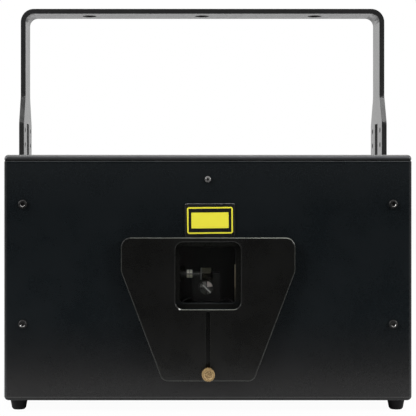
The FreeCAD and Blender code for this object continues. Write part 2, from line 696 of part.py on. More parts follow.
def rear_panel():
    """Made as seen from behind, so places to the right there have negative x."""
    panel = slab(body_outline(TRAY_TOP - PANEL_SEAM, FRONT_EDGE_ROUND), 0, REAR_THICKNESS)
    low, high = -1, REAR_THICKNESS + 1
    cuts = [rod(FAN_BORE_RADIUS, low, high, x, z) for x, z in fan_middles()]
    cuts += [rod(M4_RADIUS + HOLE_CLEARANCE, low, high, x, z) for x, z in PANEL_SCREW_PLACES]
    cuts += [rod(M3_RADIUS + HOLE_CLEARANCE, low, high, x, z) for x, z in fan_screw_places()]
    cuts += [rod(M4_RADIUS + HOLE_CLEARANCE, low, high, x, z) for x, z in eye_screw_places()]
    gap = 2 * CUTOUT_PLAY
    inlet = rectangle(INLET_BODY_WIDTH + gap, INLET_BODY_HEIGHT + gap, 0, INLET_PLACE, ROW_Z)
    rocker = rectangle(rocker_body_width() + gap, rocker_body_height() + gap, 0, ROCKER_PLACE, ROW_Z)
    cuts += [slab(inlet, low, high), slab(rocker, low, high)]
    for place in (INTERLOCK_PLACE, DMX_IN_PLACE, DMX_OUT_PLACE):
        cuts.append(rod(XLR_BODY_RADIUS + CUTOUT_PLAY, low, high, place, ROW_Z))
    for z in ILDA_HEIGHTS:
        shell = rectangle(DSUB_SHELL_WIDTH + gap, DSUB_SHELL_HEIGHT + gap, 0, ILDA_PLACE, z)
        cuts.append(slab(shell, low, high))
    cuts.append(rod(KEY_BARREL_RADIUS + CUTOUT_PLAY, low, high, KEY_PLACE, ROW_Z))
    cuts.append(rod(LED_BODY_RADIUS + CUTOUT_PLAY, low, high, KEY_PLACE, ROW_Z + INDICATOR_RISE))
    return placed(holed(panel, cuts), REAR, (0, TRAY_REAR, 0))


def rear_panel_screws():
    length = REAR_THICKNESS + SHEET + SCREW_GRIP
    screw = socket_screw(M4_RADIUS, M4_HEAD_RADIUS, M4_HEAD_HEIGHT, length, M4_SOCKET_ACROSS)
    eye = socket_screw(
        M4_RADIUS, M4_HEAD_RADIUS, M4_HEAD_HEIGHT, EYE_BASE_THICKNESS + REAR_THICKNESS, M4_SOCKET_ACROSS
    )
    screws = [placed(screw, REAR, (-x, REAR_Y, z)) for x, z in PANEL_SCREW_PLACES]
    screws += [placed(eye, REAR, (-x, REAR_Y + EYE_BASE_THICKNESS, z)) for x, z in eye_screw_places()]
    return Part.makeCompound(screws)


def rubber_feet():
    recess = M4_HEAD_RADIUS + HOLE_CLEARANCE
    hole = M4_RADIUS + HOLE_CLEARANCE
    profile = [
        (hole, 0),
        (FOOT_TOP_RADIUS, 0),
        (FOOT_BOTTOM_RADIUS + FOOT_EDGE_ROUND / 3, FOOT_EDGE_ROUND - FOOT_HEIGHT),
        (FOOT_BOTTOM_RADIUS - FOOT_EDGE_ROUND / 2, -FOOT_HEIGHT),
        (recess, -FOOT_HEIGHT),
        (recess, FOOT_RECESS_DEPTH - FOOT_HEIGHT),
        (hole, FOOT_RECESS_DEPTH - FOOT_HEIGHT),
    ]
    return Part.makeCompound([placed(turning(profile), UP, at) for at in foot_places()])


def foot_screws():
    length = FOOT_HEIGHT - FOOT_RECESS_DEPTH + SHEET + SCREW_GRIP
    screw = socket_screw(M4_RADIUS, M4_HEAD_RADIUS, M4_HEAD_HEIGHT, length, M4_SOCKET_ACROSS)
    return Part.makeCompound([placed(screw, DOWN, (x, y, FOOT_RECESS_DEPTH)) for x, y, _ in foot_places()])


# Aperture plate, window and masking shutter
def plate_outline():
    top, low = PLATE_TOP_WIDTH / 2, PLATE_BOTTOM_WIDTH / 2
    kink = PLATE_TOP - PLATE_SHOULDER
    return [
        (-low, PLATE_BOTTOM, PLATE_BOTTOM_CORNER),
        (low, PLATE_BOTTOM, PLATE_BOTTOM_CORNER),
        (top, kink, PLATE_KINK_ROUND),
        (top, PLATE_TOP, PLATE_TOP_CORNER),
        (-top, PLATE_TOP, PLATE_TOP_CORNER),
        (-top, kink, PLATE_KINK_ROUND),
    ]


def aperture_cover_plate():
    plate = slab(plate_outline(), 0, PLATE_THICKNESS)
    opening = rectangle(OPENING_WIDTH, OPENING_HEIGHT, OPENING_CORNER, 0, OPENING_Z)
    plate = plate.cut(slab(opening, -1, PLATE_THICKNESS + 1))
    plate = rounded_at(plate, PLATE_THICKNESS, PLATE_EDGE_ROUND)
    pocket_height = POCKET_TOP - POCKET_BOTTOM
    pocket = rectangle(POCKET_WIDTH, pocket_height, 0, 0, (POCKET_TOP + POCKET_BOTTOM) / 2)
    slot_height = SLOT_TOP - SLOT_BOTTOM
    slot = obround(SLOT_WIDTH, slot_height, 0, (SLOT_TOP + SLOT_BOTTOM) / 2)
    cuts = [slab(pocket, -1, POCKET_DEPTH), slab(slot, 0, PLATE_THICKNESS + 1)]
    for x, z in RETAINER_SCREW_PLACES:
        cuts.append(rod(M3_RADIUS + RUNNING_FIT, -1, PLATE_THREAD_DEPTH, x, z))
    return placed(holed(plate, cuts), FRONT, (0, FRONT_Y, 0))


def aperture_plate_screws():
    length = RETAINER_BACK_Y - FRONT_Y + PLATE_THREAD_DEPTH - SEAT_PLAY
    screw = socket_screw(M3_RADIUS, M3_HEAD_RADIUS, M3_HEAD_HEIGHT, length, M3_RADIUS)
    places = [(x, RETAINER_BACK_Y, z) for x, z in RETAINER_SCREW_PLACES]
    return Part.makeCompound([placed(screw, REAR, at) for at in places])


def window_gasket():
    ring = slab(rectangle(GLASS_SIZE, GLASS_SIZE, WINDOW_CORNER), 0, GASKET_THICKNESS)
    ring = ring.cut(slab(rectangle(WINDOW_SIZE, WINDOW_SIZE, WINDOW_CORNER), -1, GASKET_THICKNESS + 1))
    return placed(ring, REAR, (0, FRONT_Y + FRONT_THICKNESS, OPENING_Z))


def window_glass():
    pane = slab(rectangle(GLASS_SIZE, GLASS_SIZE, WINDOW_CORNER), -GLASS_THICKNESS, 0)
    return placed(pane, REAR, (0, GLASS_BACK_Y, OPENING_Z))


def window_retainer():
    depth = RETAINER_BACK_Y - FRONT_Y - FRONT_THICKNESS
    ring = slab(rectangle(RETAINER_WIDTH, RETAINER_HEIGHT, WINDOW_CORNER), -depth, 0)
    seat = GLASS_SIZE + 2 * SEAT_PLAY
    cuts = [
        slab(rectangle(seat, seat, WINDOW_CORNER), -depth - 1, -RETAINER_LIP),
        slab(rectangle(WINDOW_SIZE, WINDOW_SIZE, WINDOW_CORNER), -depth - 1, 1),
    ]
    for x, z in RETAINER_SCREW_PLACES:
        cuts.append(rod(M3_RADIUS + HOLE_CLEARANCE, -depth - 1, 1, x, z - OPENING_Z))
    return placed(holed(ring, cuts), REAR, (0, RETAINER_BACK_Y, OPENING_Z))


def aperture_shutter():
    """A folded blade that runs in the plate's pocket, with a press nut for the thumb screw."""
    height = SHUTTER_TOP - SHUTTER_BOTTOM
    middle = (SHUTTER_TOP + SHUTTER_BOTTOM) / 2
    face = POCKET_DEPTH - SHUTTER_PLAY
    blade = slab(rectangle(SHUTTER_WIDTH, height, 0, 0, middle), face - SHUTTER_SHEET, face)
    folds = []
    for side in (-1, 1):
        x = side * (SHUTTER_WIDTH - SHUTTER_FOLD) / 2
        folds.append(slab(rectangle(SHUTTER_FOLD, height, 0, x, middle), SHUTTER_PLAY, face))
    boss = rod(SHUTTER_BOSS_RADIUS, SHUTTER_PLAY, face, 0, THUMB_Z)
    below = block(-SHUTTER_WIDTH, SHUTTER_WIDTH, SHUTTER_BOTTOM - SHUTTER_WIDTH, SHUTTER_BOTTOM, 0, face)
    shutter = joined(blade, boss.cut(below), *folds)
    bore = rod(M3_RADIUS + RUNNING_FIT, -1, face + 1, 0, THUMB_Z)
    return placed(shutter.cut(bore), FRONT, (0, FRONT_Y, 0))


def brass_thumb_screw():
    shank_end = -PLATE_THICKNESS + SHUTTER_PLAY - THUMB_GAP
    rim = THUMB_RADIUS - THUMB_RIM
    head = turning([
        (0, shank_end),
        (M3_RADIUS, shank_end),
        (M3_RADIUS, 0),
        (THUMB_RADIUS - THUMB_FLUTE_RADIUS, 0),
        (THUMB_RADIUS, THUMB_FLUTE_RADIUS),
        (THUMB_RADIUS, THUMB_HEIGHT - THUMB_FLUTE_RADIUS),
        (THUMB_RADIUS - THUMB_FLUTE_RADIUS, THUMB_HEIGHT),
        (rim, THUMB_HEIGHT),
        (rim - THUMB_DISH, THUMB_HEIGHT - THUMB_DISH),
        (0, THUMB_HEIGHT - THUMB_DISH),
    ])
    flutes = []
    for i in range(THUMB_FLUTES):
        angle = 2 * math.pi * i / THUMB_FLUTES
        x, y = THUMB_RADIUS * math.cos(angle), THUMB_RADIUS * math.sin(angle)
        flutes.append(rod(THUMB_FLUTE_RADIUS, -1, THUMB_HEIGHT + 1, x, y))
    return placed(holed(head, flutes), FRONT, (0, PLATE_FACE_Y - THUMB_GAP, THUMB_Z))


# Bracket and its pivots
def mounting_bracket():
    low = PIVOT_Z + BRACKET_SLOT_BOTTOM - ARM_END_MARGIN
    outer_bend = BRACKET_BEND + BRACKET_THICKNESS
    outer = [(-ARM_OUTSIDE, low, 0), (ARM_OUTSIDE, low, 0)]
    outer += [(ARM_OUTSIDE, CROSSBAR_TOP, outer_bend), (-ARM_OUTSIDE, CROSSBAR_TOP, outer_bend)]
    inner = [(-ARM_INSIDE, low - 1, 0), (ARM_INSIDE, low - 1, 0)]
    inner += [(ARM_INSIDE, CROSSBAR_BOTTOM, BRACKET_BEND), (-ARM_INSIDE, CROSSBAR_BOTTOM, BRACKET_BEND)]
    half_arm, half_strip = ARM_WIDTH / 2, STRIP_WIDTH / 2
    band = slab(outer, -half_arm, half_arm).cut(slab(inner, -half_arm - 1, half_arm + 1))
    band = placed(band, FRONT, (0, 0, 0))
    side = [
        (-half_arm, low, ARM_END_ROUND),
        (half_arm, low, ARM_END_ROUND),
        (half_arm, PIVOT_Z + FLARE_LOW, FLARE_ROUND),
        (half_strip, PIVOT_Z + FLARE_HIGH, FLARE_ROUND),
        (half_strip, CROSSBAR_TOP + 1, 0),
        (-half_strip, CROSSBAR_TOP + 1, 0),
        (-half_strip, PIVOT_Z + FLARE_HIGH, FLARE_ROUND),
        (-half_arm, PIVOT_Z + FLARE_LOW, FLARE_ROUND),
    ]
    reach = ARM_OUTSIDE + 1
    bracket = band.common(placed(slab(side, -reach, reach), RIGHT, (0, 0, 0)))
    slot_length = BRACKET_SLOT_TOP - BRACKET_SLOT_BOTTOM
    slot_middle = PIVOT_Z + (BRACKET_SLOT_TOP + BRACKET_SLOT_BOTTOM) / 2
    slot = obround(BRACKET_SLOT_WIDTH, slot_length, 0, slot_middle)
    cuts = [placed(slab(slot, -reach, reach), RIGHT, (0, 0, 0))]
    for i in range(INDEX_ROWS):
        for y in (-half_arm + INDEX_EDGE_INSET, half_arm - INDEX_EDGE_INSET):
            hole = rod(INDEX_HOLE_RADIUS, -reach, reach, y, PIVOT_Z + INDEX_TOP - i * INDEX_PITCH)
            cuts.append(placed(hole, RIGHT, (0, 0, 0)))
    for x in (-CLAMP_HOLE_SPACING, 0, CLAMP_HOLE_SPACING):
        cuts.append(rod(CLAMP_HOLE_RADIUS, CROSSBAR_BOTTOM - 1, CROSSBAR_TOP + 1, x, 0))
    return holed(bracket, cuts)


def both_sides(shape, distance):
    """The same piece on the right and left walls, its own z = 0 this far from the middle."""
    return [placed(shape, RIGHT, (distance, 0, PIVOT_Z)), placed(shape, LEFT, (-distance, 0, PIVOT_Z))]


def pivot_nut_plates():
    plate = slab(rectangle(NUT_PLATE_SIZE, NUT_PLATE_SIZE, NUT_PLATE_CORNER), -NUT_PLATE_THICKNESS, 0)
    nut = rod(NUT_RADIUS, -NUT_PLATE_THICKNESS - NUT_HEIGHT, -NUT_PLATE_THICKNESS / 2)
    bore = rod(STUD_RADIUS + RUNNING_FIT, -NUT_PLATE_THICKNESS - NUT_HEIGHT - 1, 1)
    return Part.makeCompound(both_sides(joined(plate, nut).cut(bore), WALL_INSIDE))


def friction_washers():
    washer = rod(WASHER_RADIUS, 0, BRACKET_SIDE_GAP - WASHER_PLAY)
    washer = washer.cut(rod(STUD_RADIUS + HOLE_CLEARANCE, -1, BRACKET_SIDE_GAP))
    return Part.makeCompound(both_sides(washer, HALF_WIDTH))


def slot_guides():
    inside = GUIDE_PLAY
    outside = BRACKET_THICKNESS + GUIDE_PLAY
    tongue = slab(obround(GUIDE_WIDTH, GUIDE_LENGTH), inside, outside + GUIDE_FLANGE / 2)
    flange = rod(GUIDE_FLANGE_RADIUS, outside, outside + GUIDE_FLANGE)
    bore = rod(STUD_RADIUS + RUNNING_FIT, 0, outside + GUIDE_FLANGE + 1)
    return both_sides(joined(tongue, flange).cut(bore), ARM_INSIDE)


def lock_knobs():
    base = GUIDE_PLAY
    top = base + KNOB_HEIGHT
    knob = rod(KNOB_CORE_RADIUS, base, top)
    lobes = []
    for i in range(KNOB_LOBES):
        angle = 2 * math.pi * i / KNOB_LOBES
        x, y = KNOB_LOBE_CIRCLE * math.cos(angle), KNOB_LOBE_CIRCLE * math.sin(angle)
        lobes.append(rod(KNOB_LOBE_RADIUS, base, top, x, y))
    knob = rounded_at(joined(knob, *lobes), top, KNOB_EDGE_ROUND)
    end = GUIDE_OUTSIDE - WALL_INSIDE + NUT_PLATE_THICKNESS + NUT_HEIGHT
    return both_sides(joined(knob, rod(STUD_RADIUS, -end, base)), GUIDE_OUTSIDE)


def safety_eye():
    base = slab(rectangle(EYE_BASE_WIDTH, EYE_HEIGHT, EYE_BASE_THICKNESS), 0, EYE_BASE_THICKNESS)
    screw_hole = M4_RADIUS + HOLE_CLEARANCE
    cuts = [rod(screw_hole, -1, EYE_BASE_THICKNESS + 1, x, 0) for x, _ in eye_screw_places()]
    base = placed(holed(base, cuts), REAR, (0, REAR_Y, EYE_Z))
    half = EYE_HEIGHT / 2
    tip = REAR_Y + EYE_REACH
    ear = [
        (REAR_Y, -half, 0),
        (tip, -half, EYE_TIP_ROUND),
        (tip, half, EYE_TIP_ROUND),
        (REAR_Y, half, 0),
    ]
    tab = slab(ear, -EYE_THICKNESS / 2, EYE_THICKNESS / 2)
    hole = rod(EYE_HOLE_RADIUS, -EYE_THICKNESS, EYE_THICKNESS, tip - half, 0)
    return joined(base, placed(tab.cut(hole), RIGHT, (0, 0, EYE_Z)))


# Fans
def fan_frame():
    """One fan's housing, facing +z with its outlet at z = 0."""
    frame = slab(rectangle(FAN_SIZE, FAN_SIZE, FAN_CORNER), -FAN_DEPTH, 0)
    frame = frame.cut(rod(FAN_BORE_RADIUS, -FAN_DEPTH - 1, 1))
    half = FAN_SCREW_SPACING / 2
    corners = [(i * half, j * half) for i in (-1, 1) for j in (-1, 1)]
    holes = [rod(M3_RADIUS + RUNNING_FIT, -FAN_DEPTH - 1, 1, x, y) for x, y in corners]
    strut_top = FAN_STRUT_DEPTH - FAN_DEPTH
    spider = [rod(FAN_HUB_RADIUS, -FAN_DEPTH, strut_top), rod(FAN_PIN_RADIUS, -FAN_DEPTH, -2 * FAN_END_GAP)]
    for i in range(FAN_STRUTS):
        side = FAN_STRUT_WIDTH / 2
        strut = block(0, FAN_BORE_RADIUS + 1, -side, side, -FAN_DEPTH, strut_top)
        strut.rotate(V(0, 0, 0), V(0, 0, 1), 90 + i * 360 / FAN_STRUTS)
        spider.append(strut)
    return joined(holed(frame, holes), *spider)


def fan_rotor():
    low = FAN_STRUT_DEPTH - FAN_DEPTH + FAN_END_GAP
    high = -FAN_END_GAP
    tip = FAN_BORE_RADIUS - FAN_TIP_GAP
    ring = rod(tip, low, high).cut(rod(FAN_HUB_RADIUS - 1, low - 1, high + 1))
    middle = (low + high) / 2
    chord = (high - low) / math.sin(math.radians(FAN_BLADE_PITCH))
    blades = []
    for i in range(FAN_BLADES):
        blade = block(0, tip + 1, -chord, chord, -FAN_BLADE_SHEET / 2, FAN_BLADE_SHEET / 2)
        blade.rotate(V(0, 0, 0), V(1, 0, 0), FAN_BLADE_PITCH)
        blade.translate(V(0, 0, middle))
        blade.rotate(V(0, 0, 0), V(0, 0, 1), i * 360 / FAN_BLADES)
        blades.append(blade.common(ring))
    hub = rounded_at(rod(FAN_HUB_RADIUS, low, high), high, FAN_HUB_ROUND)
    return joined(hub, *blades).cut(rod(FAN_PIN_RADIUS + RUNNING_FIT, low - 1, high + 1))


def on_fans(shape, y):
    return [placed(shape, REAR, (-x, y, z)) for x, z in fan_middles()]


def fan_guards():
    wire = GUARD_WIRE
    middle = GUARD_EYE / 2
    last = FAN_SCREW_SPACING / math.sqrt(2)
    rings = []
    for i in range(GUARD_RINGS):
        radius = GUARD_FIRST_RING + i * GUARD_RING_STEP
        rings.append(Part.makeTorus(radius, wire, V(0, 0, middle + GUARD_RING_LIFT)))
    spokes = []
    for i in range(4):
        start = GUARD_FIRST_RING - GUARD_RING_STEP / 2
        spoke = Part.makeCylinder(wire, last - M3_HEAD_RADIUS - start, V(start, 0, middle), V(1, 0, 0))
        eye = rod(M3_HEAD_RADIUS + wire, 0, GUARD_EYE, last, 0)
        eye = eye.cut(rod(M3_RADIUS + HOLE_CLEARANCE, -1, GUARD_EYE + 1, last, 0))
        arm = joined(spoke, eye)
        arm.rotate(V(0, 0, 0), V(0, 0, 1), 45 + 90 * i)
        spokes.append(arm)
    return Part.makeCompound(on_fans(joined(rings[0], *rings[1:], *spokes), REAR_Y))


def fan_screws():
    length = GUARD_EYE + REAR_THICKNESS + FAN_DEPTH / 2
    screw = socket_screw(M3_RADIUS, M3_HEAD_RADIUS, M3_HEAD_HEIGHT, length, M3_RADIUS)
    places = [(-x, REAR_Y + GUARD_EYE, z) for x, z in fan_screw_places()]
    return Part.makeCompound([placed(screw, REAR, at) for at in places])


# Rear connectors, each made about its own middle, facing +z with z = 0 on the panel's outer face
def on_rear(shape, place, z):
    return placed(shape, REAR, (-place, REAR_Y, z))


def power_inlet():
    flange = rectangle(INLET_FLANGE_WIDTH, INLET_FLANGE_HEIGHT, INLET_FLANGE_CORNER)
    flange = slab(flange, 0, INLET_FLANGE)
    body = slab(rectangle(INLET_BODY_WIDTH, INLET_BODY_HEIGHT), -INLET_BODY_DEPTH, INLET_FLANGE / 2)
    well_bottom = INLET_FLANGE - INLET_WELL_DEPTH
    well = rectangle(INLET_WELL_WIDTH, INLET_WELL_HEIGHT, INLET_WELL_CORNER)
    well = slab(well, well_bottom, INLET_FLANGE + 1)
    pins = []
    for x, y in ((-INLET_PIN_SPACING, 0), (0, INLET_EARTH_RISE), (INLET_PIN_SPACING, 0)):
        pin = rectangle(INLET_PIN_WIDTH, INLET_PIN_HEIGHT, 0, x, y)
        pins.append(slab(pin, well_bottom - 1, well_bottom + INLET_PIN_LENGTH))
    return on_rear(joined(joined(flange, body).cut(well), *pins), INLET_PLACE, ROW_Z)


def rocker_body_width():
    return ROCKER_WIDTH + 2 * (ROCKER_PLAY + ROCKER_FRAME_WALL / 2)


def rocker_body_height():
    return 2 * (ROCKER_REACH + ROCKER_PLAY) + ROCKER_FRAME_WALL


def rocker_frame():
    width, height = rocker_body_width(), rocker_body_height()
    flange = rectangle(width + ROCKER_FRAME_WALL, height + ROCKER_FRAME_WALL, ROCKER_FRAME_CORNER)
    flange = slab(flange, 0, ROCKER_FRAME_FLANGE)
    body = slab(rectangle(width, height), -ROCKER_BODY_DEPTH, ROCKER_FRAME_FLANGE / 2)
    well = rectangle(ROCKER_WIDTH + 2 * ROCKER_PLAY, 2 * (ROCKER_REACH + ROCKER_PLAY))
    floor = -ROCKER_AXIS_DEPTH - ROCKER_REACH
    frame = joined(flange, body).cut(slab(well, floor, ROCKER_FRAME_FLANGE + 1))
    return on_rear(frame, ROCKER_PLACE, ROW_Z)


def rocker():
    """A rocker with a dished face, at rest in its off position."""
    axis = -ROCKER_AXIS_DEPTH
    half = ROCKER_WIDTH / 2
    dish = [
        (-ROCKER_REACH - 1, -ROCKER_DEPTH, 0),
        (ROCKER_REACH + 1, -ROCKER_DEPTH, 0),
        (ROCKER_REACH + 1, ROCKER_PROUD, 0),
        (0, ROCKER_DIP, ROCKER_REACH),
        (-ROCKER_REACH - 1, ROCKER_PROUD, 0),
    ]
    profile = slab(dish, -half, half).common(rod(ROCKER_REACH, -half, half, 0, axis))
    profile.rotate(V(0, axis, 0), V(0, 0, 1), -ROCKER_SWING / 2)
    return on_rear(placed(profile, RIGHT, (0, 0, 0)), ROCKER_PLACE, ROW_Z)


def key_switch_barrel():
    bezel = turning([
        (0, 0), (KEY_BEZEL_RADIUS, 0), (KEY_BEZEL_RADIUS - BEZEL_TAPER, KEY_BEZEL), (0, KEY_BEZEL)
    ])
    barrel = joined(bezel, rod(KEY_BARREL_RADIUS, -KEY_BARREL_DEPTH, KEY_BEZEL / 2))
    bore = rod(KEY_PLUG_RADIUS + RUNNING_FIT, KEY_BEZEL - KEY_PLUG_DEPTH - RUNNING_FIT, KEY_BEZEL + 1)
    return on_rear(barrel.cut(bore), KEY_PLACE, ROW_Z)


def key():
    """The lock's plug with the key in it: they turn together."""
    plug = rod(KEY_PLUG_RADIUS, KEY_BEZEL - KEY_PLUG_DEPTH, KEY_BEZEL)
    neck_top = KEY_BEZEL + KEY_NECK
    half = KEY_SHEET / 2
    blade = block(-half, half, -KEY_BLADE_WIDTH / 2, KEY_BLADE_WIDTH / 2, 0, neck_top + KEY_BOW_RADIUS / 2)
    middle = V(-half, 0, neck_top + KEY_BOW_RADIUS)
    bow = Part.makeCylinder(KEY_BOW_RADIUS, KEY_SHEET, middle, V(1, 0, 0))
    hole_at = middle + V(-1, 0, KEY_BOW_RADIUS / 3)
    hole = Part.makeCylinder(KEY_BOW_HOLE_RADIUS, KEY_SHEET + 2, hole_at, V(1, 0, 0))
    return on_rear(joined(plug, blade, bow).cut(hole), KEY_PLACE, ROW_Z)


def xlr_socket(male):
    flange = slab(rectangle(XLR_FLANGE_WIDTH, XLR_FLANGE_HEIGHT, XLR_FLANGE_CORNER), 0, XLR_FLANGE)
    socket = joined(flange, rod(XLR_BODY_RADIUS, -XLR_BODY_DEPTH, XLR_FLANGE / 2))
    cup_floor = XLR_FLANGE - XLR_CUP_DEPTH
    if male:
        socket = socket.cut(rod(XLR_CUP_RADIUS, cup_floor, XLR_FLANGE + 1))
    features = []
    for angle in (30, 150, 270):
        x = XLR_PIN_CIRCLE * math.cos(math.radians(angle))
        y = XLR_PIN_CIRCLE * math.sin(math.radians(angle))
        if male:
            features.append(rod(XLR_PIN_RADIUS, cup_floor - 1, cup_floor + XLR_PIN_LENGTH, x, y))
        else:
            features.append(rod(XLR_PIN_RADIUS, XLR_FLANGE - XLR_HOLE_DEPTH, XLR_FLANGE + 1, x, y))
    return joined(socket, *features) if male else holed(socket, features)


def dmx_connectors():
    return Part.makeCompound([
        on_rear(xlr_socket(True), DMX_IN_PLACE, ROW_Z),
        on_rear(xlr_socket(False), DMX_OUT_PLACE, ROW_Z),
    ])


def interlock_connector():
    return on_rear(xlr_socket(False), INTERLOCK_PLACE, ROW_Z)


def dsub_shell(grow):
    half = DSUB_SHELL_WIDTH / 2 + grow
    tall = DSUB_SHELL_HEIGHT / 2 + grow
    return [
        (-half + DSUB_SHELL_TAPER, -tall, DSUB_CORNER / 2),
        (half - DSUB_SHELL_TAPER, -tall, DSUB_CORNER / 2),
        (half, tall, DSUB_CORNER / 2),
        (-half, tall, DSUB_CORNER / 2),
    ]


def signal_connectors():
    flange = slab(rectangle(DSUB_FLANGE_WIDTH, DSUB_FLANGE_HEIGHT, DSUB_CORNER), 0, DSUB_FLANGE)
    body = slab(dsub_shell(0), -DSUB_BODY_DEPTH, DSUB_SHELL_LENGTH)
    ring = slab(dsub_shell(-DSUB_SHELL_WALL), DSUB_FLANGE, DSUB_SHELL_LENGTH + 1)
    studs = [rod(DSUB_STUD_RADIUS, 0, DSUB_STUD_LENGTH, s * DSUB_STUD_SPACING / 2, 0) for s in (-1, 1)]
    insert = slab(dsub_shell(-2 * DSUB_SHELL_WALL), DSUB_FLANGE / 2, DSUB_SHELL_LENGTH - DSUB_SHELL_WALL)
    socket = joined(joined(flange, body).cut(ring), insert, *studs)
    return Part.makeCompound([on_rear(socket, ILDA_PLACE, z) for z in ILDA_HEIGHTS])


def emission_indicator():
    bezel = turning([
        (0, 0), (LED_BEZEL_RADIUS, 0), (LED_BEZEL_RADIUS - BEZEL_TAPER, LED_BEZEL), (0, LED_BEZEL)
    ])
    dome = Part.makeSphere(LED_DOME_RADIUS, V(0, 0, LED_BEZEL))
    lamp = joined(bezel, rod(LED_BODY_RADIUS, -LED_BODY_DEPTH, LED_BEZEL / 2), dome)
    return on_rear(lamp, KEY_PLACE, ROW_Z + INDICATOR_RISE)


# Optics
def optical_base_plate():
    middle = (BASE_LEFT + BASE_RIGHT) / 2
    front = FRONT_Y + BASE_FRONT_INSET
    outline = rectangle(BASE_RIGHT - BASE_LEFT, BASE_LENGTH, BASE_CORNER, middle, front + BASE_LENGTH / 2)
    return slab(outline, BASE_BOTTOM, BASE_TOP)


def isolation_mounts():
    """Waisted rubber buffers between the floor and the base plate."""
    height = BASE_BOTTOM - FLOOR_Z
    buffer = turning([
        (0, 0), (ISOLATOR_RADIUS, 0), (ISOLATOR_WAIST, height / 2), (ISOLATOR_RADIUS, height), (0, height)
    ])
    front = FRONT_Y + BASE_FRONT_INSET + ISOLATOR_INSET
    rear = front + BASE_LENGTH - 2 * ISOLATOR_INSET
    columns = (BASE_LEFT + ISOLATOR_INSET, BASE_RIGHT - ISOLATOR_INSET)
    places = [(x, y, FLOOR_Z) for x in columns for y in (front, rear)]
    return Part.makeCompound([placed(buffer, UP, at) for at in places])


def laser_module(x):
    """A finned laser head whose beam leaves its nose at the scanner's height."""
    half = LASER_WIDTH / 2
    top = BASE_TOP + LASER_HEIGHT
    body = block(x - half, x + half, LASER_FRONT_Y, LASER_FRONT_Y + LASER_LENGTH, BASE_TOP, top)
    nose = placed(rod(LASER_NOSE_RADIUS, -1, LASER_NOSE), FRONT, (x, LASER_FRONT_Y, PAN_Z))
    pitch = LASER_LENGTH / (LASER_FINS + 1)
    grooves = []
    for i in range(LASER_FINS):
        y0 = LASER_FRONT_Y + (i + 1) * pitch - LASER_FIN_GAP / 2
        y1 = y0 + LASER_FIN_GAP
        grooves.append(block(x - half - 1, x + half + 1, y0, y1, top - LASER_FIN_DEPTH, top + 1))
    bore = placed(rod(LASER_NOSE_RADIUS / 2, 0, LASER_NOSE + 1), FRONT, (x, LASER_FRONT_Y, PAN_Z))
    return joined(holed(body, grooves), nose).cut(bore)


def fold_plate(thickness, offset):
    """A plate at the crossing of a laser's beam and the scanner's beam, its back set off by this much."""
    half, tall = FOLD_MIRROR_LENGTH / 2, FOLD_MIRROR_HEIGHT / 2
    plate = block(-half, half, -offset - thickness, -offset, -tall, tall)
    plate.rotate(V(0, 0, 0), V(0, 0, 1), MIRROR_SLANT)
    return plate


def beam_mirrors():
    mirror = fold_plate(FOLD_MIRROR_SHEET, 0)
    return Part.makeCompound([placed(mirror, UP, (x, SCAN_Y, PAN_Z)) for x in LASER_PLACES])


def mirror_mounts():
    clamp = fold_plate(FOLD_CLAMP_SHEET, FOLD_MIRROR_SHEET)
    mounts = []
    back = FOLD_MIRROR_SHEET + FOLD_CLAMP_SHEET / 2
    shift = back * math.sin(math.radians(MIRROR_SLANT))
    for x in LASER_PLACES:
        post_x, post_y = x + shift, SCAN_Y - shift
        foot = rectangle(FOLD_FOOT, FOLD_FOOT, 0, post_x, post_y)
        foot = slab(foot, BASE_TOP, BASE_TOP + FOLD_FOOT_HEIGHT)
        post = rod(FOLD_POST_RADIUS, BASE_TOP, PAN_Z - FOLD_MIRROR_HEIGHT / 2, post_x, post_y)
        mounts.append(joined(foot, post, placed(clamp, UP, (x, SCAN_Y, PAN_Z))))
    return Part.makeCompound(mounts)


def scanner_block():
    wall = GALVO_RADIUS + GALVO_WALL
    pan_y = PAN_FACE_Y + GALVO_WALL
    pan = block(-wall, wall, pan_y, pan_y + GALVO_GRIP, BASE_TOP, PAN_Z + wall)
    tilt_x = TILT_FACE_X - GALVO_WALL
    tilt = block(tilt_x - GALVO_GRIP, tilt_x, SCAN_Y - wall, SCAN_Y + wall, BASE_TOP, TILT_Z + wall)
    foot_top = BASE_TOP + SCANNER_BASE
    base = block(tilt_x - GALVO_GRIP, wall, SCAN_Y - wall, pan_y + GALVO_GRIP, BASE_TOP, foot_top)
    bore = GALVO_RADIUS + RUNNING_FIT
    cuts = [
        placed(rod(bore, -GALVO_LENGTH - 1, GALVO_LENGTH), FRONT, (0, PAN_FACE_Y, PAN_Z)),
        placed(rod(bore, -GALVO_LENGTH - 1, GALVO_LENGTH), RIGHT, (TILT_FACE_X, SCAN_Y, TILT_Z)),
    ]
    return holed(joined(pan, tilt, base), cuts)


def galvo_motor():
    motor = rod(GALVO_RADIUS, -GALVO_LENGTH, 0)
    return motor.cut(rod(GALVO_SHAFT_RADIUS + RUNNING_FIT, -GALVO_LENGTH / 2, 1))


def galvo_shaft(reach, clamp):
    """A shaft out of the motor's face, with the clamp that holds the mirror's stem."""
    shaft = rod(GALVO_SHAFT_RADIUS, RUNNING_FIT - GALVO_LENGTH / 2, reach)
    return joined(shaft, rod(CLAMP_RADIUS, *clamp))


def pan_mirror():
    """Slanted from upper left to lower right: it sends the beam from the right straight up."""
    half, sheet = PAN_MIRROR_LENGTH / 2, MIRROR_SHEET
    plate = block(-half, half, -sheet / 2, sheet / 2, PAN_REACH, PAN_REACH + PAN_MIRROR_WIDTH)
    plate.rotate(V(0, 0, 0), V(0, 0, 1), -MIRROR_SLANT)
    return placed(plate, FRONT, (0, PAN_FACE_Y, PAN_Z))


